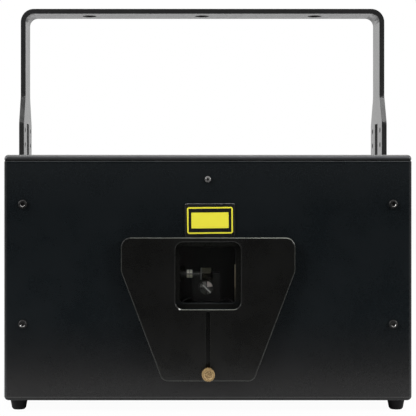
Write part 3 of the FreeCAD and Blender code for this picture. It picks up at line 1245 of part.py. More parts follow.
def tilt_mirror():
    """Slanted to face down and forward: it sends the beam from below out of the window."""
    half, sheet = TILT_MIRROR_LENGTH / 2, MIRROR_SHEET
    plate = block(-half, half, -sheet / 2, sheet / 2, TILT_REACH, TILT_REACH + TILT_MIRROR_WIDTH)
    plate.rotate(V(0, 0, 0), V(0, 0, 1), -MIRROR_SLANT)
    return placed(plate, RIGHT, (TILT_FACE_X, SCAN_Y, TILT_Z))


def beam_baffle():
    y0, y1 = SCAN_Y - BAFFLE_LENGTH / 2, SCAN_Y + BAFFLE_LENGTH / 2
    upright = block(BAFFLE_PLACE, BAFFLE_PLACE + BAFFLE_SHEET, y0, y1, BASE_TOP, PAN_Z + BAFFLE_RISE)
    foot = block(BAFFLE_PLACE, BAFFLE_PLACE + BAFFLE_LENGTH, y0, y1, BASE_TOP, BASE_TOP + BAFFLE_SHEET)
    hole = placed(rod(BAFFLE_LENGTH / 4, -1, BAFFLE_SHEET + 1), RIGHT, (BAFFLE_PLACE, SCAN_Y, PAN_Z))
    return joined(upright, foot).cut(hole)


def shutter_flag():
    """An arm on the solenoid's shaft, hanging across the beam at rest."""
    plate = [
        (-FLAG_WIDTH / 2, -FLAG_AXIS_RISE - FLAG_TAIL, FLAG_CORNER),
        (FLAG_WIDTH / 2, -FLAG_AXIS_RISE - FLAG_TAIL, FLAG_CORNER),
        (FLAG_WIDTH / 2, 0, 0),
        (-FLAG_WIDTH / 2, 0, 0),
    ]
    arm = slab(plate, 0, FLAG_SHEET)
    hub = rod(FLAG_HUB_RADIUS, -SOLENOID_GAP / 2, FLAG_SHEET)
    shaft = rod(FLAG_SHAFT_RADIUS, -SOLENOID_GAP - SOLENOID_LENGTH / 2, 0)
    return placed(joined(arm, hub, shaft), FRONT, (FLAG_PLACE, SCAN_Y, FLAG_AXIS_Z))


def safety_shutter_solenoid():
    """The solenoid on its post, with a bore for the flag's shaft."""
    half = SOLENOID_SIZE / 2
    coil = slab(rectangle(SOLENOID_SIZE, SOLENOID_SIZE, SOLENOID_CORNER), -SOLENOID_LENGTH, 0)
    bore = rod(FLAG_SHAFT_RADIUS + RUNNING_FIT, -SOLENOID_LENGTH / 2 - SOLENOID_GAP, 1)
    y = SCAN_Y + SOLENOID_GAP
    coil = placed(coil.cut(bore), FRONT, (FLAG_PLACE, y, FLAG_AXIS_Z))
    wide = SOLENOID_POST_WIDTH / 2
    back = y + SOLENOID_LENGTH
    top = FLAG_AXIS_Z - half + 1
    post = block(FLAG_PLACE - wide, FLAG_PLACE + wide, back - 2 * wide, back, BASE_TOP, top)
    return joined(coil, post)


# Power supply and boards
def power_supply():
    """A mains supply in its perforated case."""
    y0 = FRONT_Y + SUPPLY_FRONT_INSET
    x0, z0 = SUPPLY_LEFT, FLOOR_Z
    case = block(x0, x0 + SUPPLY_WIDTH, y0, y0 + SUPPLY_LENGTH, z0, z0 + SUPPLY_HEIGHT)
    top = z0 + SUPPLY_HEIGHT
    holes = []
    columns = int((SUPPLY_WIDTH - SUPPLY_HOLE_PITCH) / SUPPLY_HOLE_PITCH)
    rows = int((SUPPLY_LENGTH / 2) / SUPPLY_HOLE_PITCH)
    for i in range(columns):
        for j in range(rows):
            x = x0 + SUPPLY_HOLE_PITCH * (i + 1)
            y = y0 + SUPPLY_LENGTH - SUPPLY_HOLE_PITCH * (j + 1)
            hole = rectangle(SUPPLY_HOLE_WIDTH, SUPPLY_HOLE_WIDTH, 0, x, y)
            holes.append(slab(hole, top - SUPPLY_SHEET, top + 1))
    return holed(case, holes)


def board_corners(plan):
    left, front, width, length = plan
    for x in (left + BOARD_INSET, left + width - BOARD_INSET):
        for y in (front + BOARD_INSET, front + length - BOARD_INSET):
            yield x, y


def board(plan, parts):
    """A circuit board with its larger parts."""
    left, front, width, length = plan
    top = BOARD_Z + BOARD_SHEET
    sheet = block(left, left + width, front, front + length, BOARD_Z, top)
    pieces = []
    for along, across, part_width, part_length, height in parts:
        x0, y0 = left + along * width, front + across * length
        x1, y1 = x0 + part_width * width, y0 + part_length * length
        pieces.append(block(x0, x1, y0, y1, BOARD_Z, top + height))
    return joined(sheet, *pieces)


def laser_driver_board():
    bars = [(SINK_BAR_STEP * (i + 1), *SINK_BAR) for i in range(SINK_BARS)]
    return board(LASER_BOARD, bars + [LASER_TERMINALS])


def control_board():
    return board(CONTROL_BOARD, [PROCESSOR, RELAYS, MEMORY, CONTROL_TERMINALS])


def galvo_driver_board():
    return board(GALVO_BOARD, GALVO_SINKS)


def board_standoffs():
    pillar = rod(STANDOFF_RADIUS, FLOOR_Z, BOARD_Z)
    plans = (LASER_BOARD, CONTROL_BOARD, GALVO_BOARD)
    corners = [corner for plan in plans for corner in board_corners(plan)]
    return Part.makeCompound([placed(pillar, UP, (x, y, 0)) for x, y in corners])


def nodes():
    right_guide, left_guide = slot_guides()
    right_knob, left_knob = lock_knobs()
    right_rotor, left_rotor = on_fans(fan_rotor(), TRAY_REAR)
    pan_shaft = placed(galvo_shaft(PAN_REACH, PAN_CLAMP), FRONT, (0, PAN_FACE_Y, PAN_Z))
    tilt_shaft = placed(galvo_shaft(TILT_REACH, TILT_CLAMP), RIGHT, (TILT_FACE_X, SCAN_Y, TILT_Z))
    red, green, blue = [laser_module(x) for x in LASER_PLACES]
    return {
        "chassis_tray": chassis_tray(),
        "top_cover": top_cover(),
        "top_cover_screws": top_cover_screws(),
        "front_panel": front_panel(),
        "front_panel_screws": front_panel_screws(),
        "rear_panel": rear_panel(),
        "rear_panel_screws": rear_panel_screws(),
        "rubber_feet": rubber_feet(),
        "foot_screws": foot_screws(),
        "aperture_cover_plate": aperture_cover_plate(),
        "aperture_plate_screws": aperture_plate_screws(),
        "window_gasket": window_gasket(),
        "window_glass": window_glass(),
        "window_retainer": window_retainer(),
        "aperture_shutter": aperture_shutter(),
        "brass_thumb_screw": brass_thumb_screw(),
        "mounting_bracket": mounting_bracket(),
        "pivot_nut_plates": pivot_nut_plates(),
        "friction_washers": friction_washers(),
        "left_slot_guide": left_guide,
        "right_slot_guide": right_guide,
        "left_lock_knob": left_knob,
        "right_lock_knob": right_knob,
        "safety_eye": safety_eye(),
        "fan_frames": Part.makeCompound(on_fans(fan_frame(), TRAY_REAR)),
        "left_fan_rotor": left_rotor,
        "right_fan_rotor": right_rotor,
        "fan_guards": fan_guards(),
        "fan_screws": fan_screws(),
        "power_inlet": power_inlet(),
        "rocker_frame": rocker_frame(),
        "rocker": rocker(),
        "key_switch_barrel": key_switch_barrel(),
        "key": key(),
        "dmx_connectors": dmx_connectors(),
        "interlock_connector": interlock_connector(),
        "signal_connectors": signal_connectors(),
        "emission_indicator": emission_indicator(),
        "optical_base_plate": optical_base_plate(),
        "isolation_mounts": isolation_mounts(),
        "red_laser_module": red,
        "green_laser_module": green,
        "blue_laser_module": blue,
        "beam_mirrors": beam_mirrors(),
        "mirror_mounts": mirror_mounts(),
        "scanner_block": scanner_block(),
        "pan_galvo_motor": placed(galvo_motor(), FRONT, (0, PAN_FACE_Y, PAN_Z)),
        "tilt_galvo_motor": placed(galvo_motor(), RIGHT, (TILT_FACE_X, SCAN_Y, TILT_Z)),
        "pan_mirror_shaft": pan_shaft,
        "pan_mirror": pan_mirror(),
        "tilt_mirror_shaft": tilt_shaft,
        "tilt_mirror": tilt_mirror(),
        "beam_baffle": beam_baffle(),
        "shutter_flag": shutter_flag(),
        "safety_shutter_solenoid": safety_shutter_solenoid(),
        "power_supply": power_supply(),
        "laser_driver_board": laser_driver_board(),
        "control_board": control_board(),
        "galvo_driver_board": galvo_driver_board(),
        "board_standoffs": board_standoffs(),
    }


os.makedirs("parts", exist_ok=True)
for name, shape in nodes().items():
    shape.exportStep(f"parts/{name}.step")
    print(f"{name}: {len(shape.Solids)} solids, {shape.Volume:.1f} mm3, valid {shape.isValid()}")
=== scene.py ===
import json
import math

import bmesh
import bpy
from mathutils import Matrix, Vector


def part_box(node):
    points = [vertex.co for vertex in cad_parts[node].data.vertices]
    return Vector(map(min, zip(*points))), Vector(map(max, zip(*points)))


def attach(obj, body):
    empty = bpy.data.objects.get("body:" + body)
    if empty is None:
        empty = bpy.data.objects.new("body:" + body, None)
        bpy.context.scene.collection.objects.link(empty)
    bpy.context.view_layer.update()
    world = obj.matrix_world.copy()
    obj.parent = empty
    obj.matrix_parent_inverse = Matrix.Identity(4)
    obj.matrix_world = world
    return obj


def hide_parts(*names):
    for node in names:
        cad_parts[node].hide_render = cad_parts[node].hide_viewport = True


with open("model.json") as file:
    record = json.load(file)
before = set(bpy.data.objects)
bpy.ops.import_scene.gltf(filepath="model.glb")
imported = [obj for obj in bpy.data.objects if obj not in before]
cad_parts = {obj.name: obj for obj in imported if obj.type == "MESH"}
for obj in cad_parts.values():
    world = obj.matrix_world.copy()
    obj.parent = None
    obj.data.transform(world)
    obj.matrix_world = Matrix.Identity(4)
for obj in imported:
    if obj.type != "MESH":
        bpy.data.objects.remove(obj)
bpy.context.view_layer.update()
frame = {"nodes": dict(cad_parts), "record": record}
nodes = frame["nodes"]
scene = bpy.context.scene
scene.view_settings.view_transform = "Standard"

# Metres unless said: +X right seen from the front, -Y out of the window, +Z up.
MM = 0.001
FAR = 1.0  # past every side of the part

# Camera, square on the front
CAMERA_PLACE = (-0.029, -1.1454, 0.1805)
CAMERA_LENS = 106.2
CAMERA_SENSOR = 36.0
CAMERA_SHIFT = (0.0890, -0.064)

# Studio: the light round the object, the floor and the lamps
BACK_LEVELS = (1.08, 0.68)  # left and right
FRONT_LEVEL = 0.06
TOP_LEVEL = 0.80
BACK_TURN = (-0.25, 0.25)  # Y of the directions between which the front becomes the back
SIDE_TURN = (-0.4, 0.4)  # X of those between which the left becomes the right
TOP_TURN = (0.45, 0.95)  # Z of those between which the top takes over
FLOOR_SIZE = 14.0
FLOOR_FRONT = 0.335  # front edge, before the tilt axis
FLOOR_COLOUR = 0.62
FLOOR_SHOW = 0.965  # share of plain white in the floor that the camera sees
KEY_LAMPS = [
    # name, place, width, height, power in watts
    ("lamp_left", (-2.0, -1.10, 1.40), 0.9, 0.9, 68.0),
    ("lamp_right", (2.1, -1.05, 1.20), 0.9, 0.9, 55.0),
    ("lamp_top", (0.0, 0.05, 1.90), 1.4, 0.8, 26.0),
    ("lamp_rear", (0.3, 1.70, 1.35), 1.2, 0.8, 12.0),
    ("lamp_shoulder", (0.45, -0.95, 1.55), 0.35, 0.35, 1.75),
]
LAMP_AIM = Vector((0.0, 0.0, 0.12))

# How finishes are mixed
PATCH_DETAIL = 4.0
GRAIN_DETAIL = 2.0
NOISE_ROUGH = 0.6
PATCH_SHARE = 0.6  # of a finish's tone, the rest is its grain
TONE_RANGE = (0.3, 0.7)  # of the noise between a finish's two tones
RUB_AND_HIGHLIGHT_RANGE = (0.42, 0.62)  # of the patches in which an edge is rubbed or carries its painted highlight
EVEN_EDGE_HIGHLIGHT = 0.75  # least share of the painted highlight on an edge that is lit all along
EDGE_TURNED = (-0.08, -0.35)  # Y of a rounded edge's normal, from the side that it leaves
EDGE_FLAT = (-0.97, -0.86)  # and from the front that it meets
EDGE_LEVEL = 0.35  # Z of the normal, up or down, where its share is full
BEVEL_SAMPLES = 4
BEVEL_RANGE = (0.98, 0.80)  # cosine between a flat and its softened edge
BEVEL_UP = 0.5  # Z of a softened edge's normal where its share is full
GLASS_INDEX = 1.1
GLASS_SMEAR = 0.02  # size of the smears in metres
GLASS_HAZE = 0.04  # roughness of the smears
SMEAR_RANGE = (0.4, 0.8)

# Marks on the front panel, in millimetres from its edges: where they start and where they are full
PANEL_PALER = (-38.0, -6.0)  # painted reflection, from the top edge
PANEL_UNDER_TOP = (-1.6, -2.4)
PANEL_GREYER = (65.0, 15.0)  # from the lower edge
PANEL_OVER_FOOT = (1.0, 1.8)
# painted highlights along the sides
PANEL_SIDES = (-2.2, -1.1)
PANEL_DARK_LINE = (0.8, 1.9)  # lower and upper side of a line along the lower edge
# a pale line with a painted highlight, above the dark one
PANEL_PALE_LINE = (1.9, 2.8)
REFLECTION_TONE = (0.0077, 0.0095, 0.0107)
GREYER_TONE = (0.0050, 0.0049, 0.0051)
DARK_LINE_TONE = (0.0005, 0.0005, 0.0005)
HIGHLIGHT_LINE_TONE = (0.026, 0.026, 0.026)
SIDE_HIGHLIGHT_TONE = (0.030, 0.031, 0.032)

# The window's sill and what shows of the panel behind it, in millimetres
SILL_UP = 80.9
SILL_HALF = 22.5  # half of the sill's straight length
PANEL_BESIDE = 4.0  # past the sill's ends
PANEL_SHADED = ((0.0, 3.4), (4.6, 49.0))  # above the sill, on both sides of the panel's own edge
PANEL_LIT = 49.0  # painted light, from here to the cover plate's top
SHADED_TONE = (0.0048, 0.0049, 0.0042)
LIT_TONE = (0.016, 0.017, 0.0148)

# Marks on the cover plate, in millimetres
RIM_BESIDE = 5.0  # the window's rim in painted shade, past the sill's ends
RIM_UP = 2.5  # above the sill
RIM_SHARE = 0.8
RIM_LEFT_GAP = 1.0  # between the sill's left end and the corner in painted shade
SILL_BAND = 1.5  # above and below the sill
SPOT_INSET = 0.3  # painted glint, from the sill's left end
SPOT_RADII = (1.1, 0.7)
COVER_CORNER = (7.0, 8.0)  # width and height of the upper left corner, in painted shade and rougher
CORNER_ROUGH = 0.7
COVER_TOP_BAND = 2.0
COVER_TOP_BRIGHT = (-5.0, 80.0)  # painted highlight on the top edge, from the middle to the right
COVER_FOOT_BAND = 3.0
# Painted shade on the rim and the corners
PAINTED_SHADE_TONE = (0.005, 0.005, 0.0048)
# Painted highlights on the top edge, the lower edge and the sill, and the painted glint
TOP_EDGE_TONE = (0.17, 0.18, 0.155)
FOOT_EDGE_TONE = (0.048, 0.051, 0.045)
SILL_TONE = (0.092, 0.096, 0.084)
SPOT_TONE = (0.50, 0.50, 0.48)

# Marks on the mirrors and the baffle: places in millimetres, looks as colour, roughness and metal
PAN_FRONT = (-0.7, -0.9)  # how far a side of the pan mirror faces the front, from -1 to 1
PAN_FRONT_LOOK = ((0.52, 0.51, 0.50), 0.6, 0.0)
TILT_UPPER = (-0.8, 1.6)  # from the tilt mirror's middle
TILT_INNER = (-0.8, -2.0)  # from its right side
TILT_UPPER_LOOK = ((0.078, 0.075, 0.050), 0.5, 0.3)
TILT_EDGE = (1.2, 1.0)  # from its left side
TILT_EDGE_LOOK = ((0.15, 0.155, 0.155), 0.6, 0.0)
BAFFLE_DARK = (95.0, 93.0)  # heights
BAFFLE_DARK_TONE = (0.20, 0.17, 0.115)

# Marks on the thumb screw, in millimetres
RING_STEP = 0.55
RING_STRENGTH = 0.25  # share of the full relief
RING_VALLEY = (-0.2, -0.9)  # of the rings' wave, from -1 to 1
RING_DARK_SHARE = 0.25
RING_DARK_TONE = (0.05, 0.035, 0.02)
THUMB_SPECK = 0.75
SPECK_NOISE = (1.0, 0.5)  # detail and roughness
THUMB_FACE = 3.8  # radius of the tarnished face inside the bright rim
TARNISH_RANGE = (0.48, 0.62)  # of the specks' noise
BARE_RANGE = (0.46, 0.34)
TARNISH_TONE = (0.150, 0.092, 0.032)
BARE_TONE = (0.42, 0.30, 0.155)

# Painted highlight: a paler band along the lid's front rim, in millimetres
LID_BAND_TOP = (-0.8, -1.6)  # from the lid's top
LID_BAND_FOOT = (-3.1, -2.3)
LID_BAND_DEPTH = (3.0, 2.0)  # from the lid's front
LID_LEFT_SHARE = 0.3
LID_BAND_TONE = (0.052, 0.053, 0.058)

# Slots of the bracket's arms, in millimetres
BRACKET_SLOT_WIDTH = 11.0
BRACKET_SLOT_TOP = 74.0  # above the tilt axis
SLOT_RIM = 2.0  # band round the slot with painted shade and a rougher finish
SLOT_SHADE_TONE = (0.006, 0.006, 0.006)
SLOT_RIM_ROUGH = 0.8

# Bare plate above the window, in millimetres
PLATE_PLACE = (1.60, 149.9)  # across and up
PLATE_SIZE = (39.2, 26.4)
PLATE_THICKNESS = 0.9
PLATE_EDGE = 0.25
PLATE_CORNER = 1.2
PLATE_TURN = 0.6  # degrees, anticlockwise seen from the front
PAINT_LIFT = 0.12  # yellow paint, above and below the plate's face
BORDER_SIZE = (35.9, 20.9)
BORDER_LINE = 1.15
BORDER_CORNER = 1.6
BORDER_INNER_CORNER = 0.3
FIELD_SIZE = (29.2, 12.4)
FIELD_CORNER = 0.15
CORNER_STEPS = 6  # points on a rounded corner, less one

# Split clamps of the mirrors' shafts, in millimetres
JAW_RADIUS = 5.4
JAW_STEPS = 8
JAW_REACH = (0.3, 3.6)  # in front of the motor's face
JAW_BEVEL = 0.12  # share by which the lobes' front edges are drawn in
JAW_SLITS = (
    # anticlockwise: degrees, half width, tone of the lobe that follows: 0 grey, 1 a painted highlight, 2
    # painted shade
    (5, 0.7, 1), (90, 0.5, 0), (135, 0.6, 0), (185, 0.9, 2), (270, 0.5, 2), (315, 0.6, 2),
)
COLLAR_RADII = (3.35, 2.8)  # outer and inner
COLLAR_SLIT = 0.5  # half of the slit
COLLAR_STARTS = (1.9, 4.3)  # beside the motor's face
COLLAR_WIDTH = 2.1
COLLAR_STEPS = 16

# Button-head screws of the front panel, in millimetres
SCREW_SIDE_INSET = 14.6
SCREW_DROP = 38.7  # upper pair, below the body's top
SCREW_RISE = 60.0  # lower pair, above the panel's lower edge
CENTRE_DROP = 19.3
SCREW_TURN = 7.0  # degrees from one screw to the next
CORNER_HEAD = (3.5, 2.0, 3.0)  # radius, height, socket across flats
CENTRE_HEAD = (2.5, 1.6, 1.5)

# Shape of a button head, as shares of its radius or its height
HEAD_SIDES = 24
HEAD_SHANK = 0.57  # radius of the shank
HEAD_WALL = 0.35  # height of the straight side
HEAD_DOME = 0.8  # of the way from the rim to the mouth
HEAD_ARC = (0.25, 0.5, 0.75, 1.0)  # of the dome's quarter circle
MOUTH_MARGIN = 0.12  # of the radius, outside the socket's corners
SOCKET_HEIGHTS = (0.72, 0.35)  # hexagon's upper and lower end
SOCKET_TIP = (0.06, 0.15)  # radius and height of the drill's tip
HEAD_SHARP = 32.0  # degrees from which an edge stays sharp
LIP_FACING = 0.35  # how far the socket's lower lip faces up
CROWN, LOWER_LIP, FLANK = 0, 1, 2  # materials of the dome, the socket's lower lip, which carries a painted highlight, and the side, which carries painted shade on the black screws

# Rear connectors, in millimetres
INLET_PINS = ((-7.0, 0.0), (0.0, 3.0), (7.0, 0.0))  # across and up
INLET_PIN_SIZE = (2.1, 9.2, 4.1)
INLET_PIN_DEPTH = 10.5  # middle of the pins, inside the flange's face
DMX_PLACES = (-8.0, -42.0)  # pins, then sockets
INTERLOCK_PLACES = (28.0,)
XLR_PIN_CIRCLE = 4.2
XLR_PIN_ANGLES = (30, 150, 270)
XLR_PIN_RADIUS = 1.3
LIP_RADII = (10.5, 9.3)
LIP_HEIGHT = 0.6
LIP_SIDES = 40
FLANGE_HEAD = (1.8, 0.9, 1.3)
FLANGE_SHANK = 1.0
FLANGE_SCREWS = ((-9.4, 11.8), (9.4, -11.8))
LATCH_RISE = 12.8
LATCH_CORNER = 0.8
LATCH_LEVELS = ((6.4, 3.6, 0.0), (6.4, 3.6, 0.7), (5.4, 2.4, 1.3))  # width, height, distance from the flange
SIGNAL_STACK = 20.0  # from the lower socket to the upper one
SIGNAL_WELL = (37.4, 6.9)  # width and height
SIGNAL_RIM = 0.3  # bare rim of the shell
CONTACT_PITCH = 2.77
CONTACT_ROWS = ((13, 1.42), (12, -1.42))  # count and height
CONTACT_RADII = (0.78, 0.45)
CONTACT_HEIGHT = 0.25
CONTACT_DROP = 0.65  # inside the shell's rim
CONTACT_SIDES = 12

# Lamp, key and rocker on the rear, in millimetres
LENS_RADIUS = 3.25
LENS_LOOK = ((0.32, 0.012, 0.012), 0.15)  # colour and roughness
PLUG_MARGIN = 0.05  # the plug's colour, outside the barrel's face
ROCKER_BAR = (0.6, 3.0)  # width and height
ROCKER_BAR_RISE = 3.0  # its lower end, above the rocker's middle
ROCKER_RING = (1.6, 1.05)  # outer and inner radius
ROCKER_RING_DROP = 4.5
MARK_TONE = (0.75, 0.75, 0.74)
WELL_LOOK = ((0.012, 0.013, 0.016), 0.45, 0.0)
TIN_LOOK = ((0.42, 0.41, 0.39), 0.3, 1.0)
GOLD_LOOK = ((0.50, 0.36, 0.14), 0.35, 1.0)

# Softened edges on the solids that the light shows, in millimetres
SOFT_EDGES = (("mounting_bracket", 0.5), ("chassis_tray", 0.3))
SOFT_WELD = 0.001
SOFT_FLAT = 0.6  # degrees within which faces count as one flat
SOFT_LIMIT = 35.0  # degrees from which an edge is softened
SOFT_SEGMENTS = 2


def in_metres(sizes):
    return [size * MM for size in sizes]


# Nodes of materials
def add_node(tree, kind, inputs=None, **settings):
    node = tree.nodes.new(kind)
    for key, value in settings.items():
        setattr(node, key, value)
    for key, value in (inputs or {}).items():
        if isinstance(value, bpy.types.NodeSocket):
            tree.links.new(value, node.inputs[key])
        else:
            node.inputs[key].default_value = value
    return node


def grey(level):
    return (level, level, level, 1.0)


def object_place(tree):
    """The surface point in the piece's own metres, so that patterns ride along."""
    return add_node(tree, "ShaderNodeTexCoord").outputs["Object"]


def coordinate(tree, axis):
    """The surface point's place along one axis."""
    return add_node(tree, "ShaderNodeSeparateXYZ", {0: object_place(tree)}).outputs[axis]


def facing(tree, axis):
    """How far the surface faces along one axis, from -1 to 1."""
    normal = add_node(tree, "ShaderNodeTexCoord").outputs["Normal"]
    return add_node(tree, "ShaderNodeSeparateXYZ", {0: normal}).outputs[axis]


def vector_math(tree, operation, first, second):
    return add_node(tree, "ShaderNodeVectorMath", {0: first, 1: second}, operation=operation)


def noise(tree, place, size, detail, roughness=NOISE_ROUGH, stretch=None):
    """Noise whose grains are about this many metres across, stretched along the axes if asked."""
    if stretch:
        place = vector_math(tree, "MULTIPLY", place, stretch).outputs[0]
    inputs = {"Vector": place, "Scale": 1.0 / size, "Detail": detail, "Roughness": roughness}
    return add_node(tree, "ShaderNodeTexNoise", inputs).outputs["Fac"]


def spread(tree, value, low, high, to_low=0.0, to_high=1.0):
    """Maps the range from low to high on to another one, and holds the ends."""
    inputs = {"Value": value, "From Min": low, "From Max": high, "To Min": to_low, "To Max": to_high}
    return add_node(tree, "ShaderNodeMapRange", inputs).outputs["Result"]


def fade(tree, place, edge, distances):
    """0 at the first distance from an edge and 1 at the second, in millimetres."""
    start, full = (edge + distance * MM for distance in distances)
    return spread(tree, place, start, full)


def mix_colour(tree, factor, first, second):
    node = add_node(tree, "ShaderNodeMix", data_type="RGBA")
    sockets = {s.identifier: s for s in node.inputs}
    for key, value in (("Factor_Float", factor), ("A_Color", first), ("B_Color", second)):
        if isinstance(value, bpy.types.NodeSocket):
            tree.links.new(value, sockets[key])
        else:
            sockets[key].default_value = value
    return next(s for s in node.outputs if s.identifier == "Result_Color")


def calc(tree, operation, first, second=0.0):
    return add_node(tree, "ShaderNodeMath", {0: first, 1: second}, operation=operation).outputs[0]


def all_of(tree, *masks):
    """The product: 1 where every mask is 1."""
    result = masks[0]
    for mask in masks[1:]:
        result = calc(tree, "MULTIPLY", result, mask)
    return result


def any_of(tree, *masks):
    """1 where one mask or more is 1."""
    result = masks[0]
    for mask in masks[1:]:
        result = calc(tree, "MAXIMUM", result, mask)
    return result


def distance_from(tree, middle, flat=(1.0, 1.0, 1.0)):
    """Metres from this point, or from a line through it along the axes whose share in flat is 0."""
    away = vector_math(tree, "SUBTRACT", object_place(tree), middle).outputs[0]
    away = vector_math(tree, "MULTIPLY", away, flat).outputs[0]
    return add_node(tree, "ShaderNodeVectorMath", {0: away}, operation="LENGTH").outputs["Value"]


def inside(tree, low, high):
    """1 within a box."""
    tests = []
    for axis, a, b in zip("XYZ", low, high):
        inputs = {0: coordinate(tree, axis), 1: (a + b) / 2, 2: (b - a) / 2}
        tests.append(add_node(tree, "ShaderNodeMath", inputs, operation="COMPARE").outputs[0])
    return all_of(tree, *tests)


def near(tree, middle, radius, flat=(1.0, 1.0, 1.0)):
    """1 within this radius of a point, or of a line through it."""
    return calc(tree, "LESS_THAN", distance_from(tree, middle, flat), radius)


def rounded_edge(tree, side, below):
    """1 on rounded front edges that face up, these shares of it where they face sideways and down."""
    forward, upward = facing(tree, "Y"), facing(tree, "Z")
    band = all_of(tree, spread(tree, forward, *EDGE_TURNED), spread(tree, forward, *EDGE_FLAT))
    share = spread(tree, upward, -EDGE_LEVEL, 0.0, below, side)
    share = calc(tree, "ADD", share, spread(tree, upward, 0.0, EDGE_LEVEL, 0.0, 1.0 - side))
    return all_of(tree, band, share)


def edge_mask(tree, width, below):
    """1 on edges within this many metres, 0 on the flats. Edges that face down get this share of it."""
    bevel = add_node(tree, "ShaderNodeBevel", {"Radius": width}, samples=BEVEL_SAMPLES).outputs[0]
    straight = add_node(tree, "ShaderNodeNewGeometry").outputs["Normal"]
    cosine = vector_math(tree, "DOT_PRODUCT", bevel, straight).outputs["Value"]
    upward = add_node(tree, "ShaderNodeSeparateXYZ", {0: bevel}).outputs["Z"]
    share = spread(tree, upward, 0.0, BEVEL_UP, below, 1.0)
    return all_of(tree, spread(tree, cosine, *BEVEL_RANGE), share)


def new_material(name):
    material = bpy.data.materials.new(name)
    material.use_nodes = True
    tree = material.node_tree
    return material, tree, tree.nodes["Principled BSDF"]


def finish(
    name, colour, second, rough, metal=0.0, patch=0.03, grain=0.0003, bump=0.08, rough_play=0.08,
    stretch=None, edge=None, edge_width=0.0006, edge_side=1.0, edge_below=1.0, edge_even=False, specular=0.5
):
    """A surface: two tones in soft patches, a fine grain in bump and gloss, and lighter edges if asked,
    rubbed in patches and with a painted highlight where they face up or run all along.
    """
    material, tree, shader = new_material(name)
    place = object_place(tree)
    patches = noise(tree, place, patch, PATCH_DETAIL, stretch=stretch)
    fine = noise(tree, place, grain, GRAIN_DETAIL, stretch=stretch)
    soft, sharp = all_of(tree, patches, PATCH_SHARE), all_of(tree, fine, 1.0 - PATCH_SHARE)
    tone = spread(tree, calc(tree, "ADD", soft, sharp), *TONE_RANGE)
    base = mix_colour(tree, tone, (*colour, 1.0), (*second, 1.0))
    if edge:
        # Lighter edges: rubbing in patches, and a painted highlight that favours edges facing up
        edge_rub_and_highlight = any_of(tree, edge_mask(tree, edge_width, edge_below), rounded_edge(tree, edge_side, edge_below))
        edge_rub_and_highlight = all_of(tree, edge_rub_and_highlight, spread(tree, patches, *RUB_AND_HIGHLIGHT_RANGE, EVEN_EDGE_HIGHLIGHT if edge_even else 0.0))
        base = mix_colour(tree, edge_rub_and_highlight, base, (*edge, 1.0))
    tree.links.new(base, shader.inputs["Base Color"])
    gloss = spread(tree, tone, 0.0, 1.0, rough - rough_play, rough + rough_play)
    tree.links.new(gloss, shader.inputs["Roughness"])
    shader.inputs["Metallic"].default_value = metal
    shader.inputs["Specular IOR Level"].default_value = specular
    relief = add_node(tree, "ShaderNodeBump", {"Height": fine, "Strength": bump, "Distance": grain})
    tree.links.new(relief.outputs[0], shader.inputs["Normal"])
    return material


def glass(name, colour):
    material, tree, shader = new_material(name)
    shader.inputs["Base Color"].default_value = (*colour, 1.0)
    shader.inputs["Transmission Weight"].default_value = 1.0
    shader.inputs["IOR"].default_value = GLASS_INDEX
    smear = noise(tree, object_place(tree), GLASS_SMEAR, PATCH_DETAIL)
    tree.links.new(spread(tree, smear, *SMEAR_RANGE, 0.0, GLASS_HAZE), shader.inputs["Roughness"])
    return material


def tint(material, mask, colour, rough=None, metal=None):
    """Mixes another colour, and another gloss and metal if given, into a finish where the mask is 1."""
    tree = material.node_tree
    shader = tree.nodes["Principled BSDF"]
    base = shader.inputs["Base Color"].links[0].from_socket
    tree.links.new(mix_colour(tree, mask, base, (*colour, 1.0)), shader.inputs["Base Color"])
    if rough is not None:
        gloss = shader.inputs["Roughness"].links[0].from_socket
        tree.links.new(spread(tree, mask, 0.0, 1.0, gloss, rough), shader.inputs["Roughness"])
    if metal is not None:
        before = shader.inputs["Metallic"]
        before = before.links[0].from_socket if before.links else before.default_value
        tree.links.new(spread(tree, mask, 0.0, 1.0, before, metal), shader.inputs["Metallic"])


def add_rings(material, middle, flat):
    """Turning marks: fine rings about a line, in the surface's relief and tone."""
    tree = material.node_tree
    shader = tree.nodes["Principled BSDF"]
    step = RING_STEP * MM
    wave = calc(tree, "SINE", all_of(tree, distance_from(tree, middle, flat), 2 * math.pi / step))
    before = shader.inputs["Normal"].links[0].from_socket
    inputs = {"Height": wave, "Strength": RING_STRENGTH, "Distance": step, "Normal": before}
    relief = add_node(tree, "ShaderNodeBump", inputs)
    tree.links.new(relief.outputs[0], shader.inputs["Normal"])
    tint(material, all_of(tree, spread(tree, wave, *RING_VALLEY), RING_DARK_SHARE), RING_DARK_TONE)


# Finishes
powder = finish("black_powder_coat", (0.0085, 0.009, 0.0098), (0.013, 0.0135, 0.014), 0.36,
                grain=0.0006, bump=0.12, specular=0.4, edge=(0.03, 0.03, 0.03))
lid_paint = finish("lid_powder_coat", (0.013, 0.0135, 0.014), (0.020, 0.0205, 0.021), 0.42,
                   grain=0.0006, bump=0.12, rough_play=0.03, edge=(0.03, 0.03, 0.03))
front_paint = finish("black_front", (0.0024, 0.0041, 0.0052), (0.0064, 0.0083, 0.0096), 0.28,
                     grain=0.0009, bump=0.05, patch=0.05, rough_play=0.04, specular=0.34,
                     edge=(0.048, 0.050, 0.051), edge_width=0.0009, edge_side=0.80, edge_below=0.35,
                     edge_even=True)
anodised = finish("black_anodised", (0.0022, 0.0022, 0.0020), (0.0062, 0.0062, 0.0058), 0.28,
                  grain=0.0008, bump=0.05, rough_play=0.04, specular=0.34,
                  edge=(0.072, 0.077, 0.067), edge_width=0.0007, edge_side=0.38, edge_below=0.30,
                  edge_even=True)
bracket_paint = finish("bracket_black", (0.015, 0.015, 0.015), (0.020, 0.020, 0.020), 0.21,
                       grain=0.0005, bump=0.04, rough_play=0.03, edge=(0.06, 0.06, 0.06))
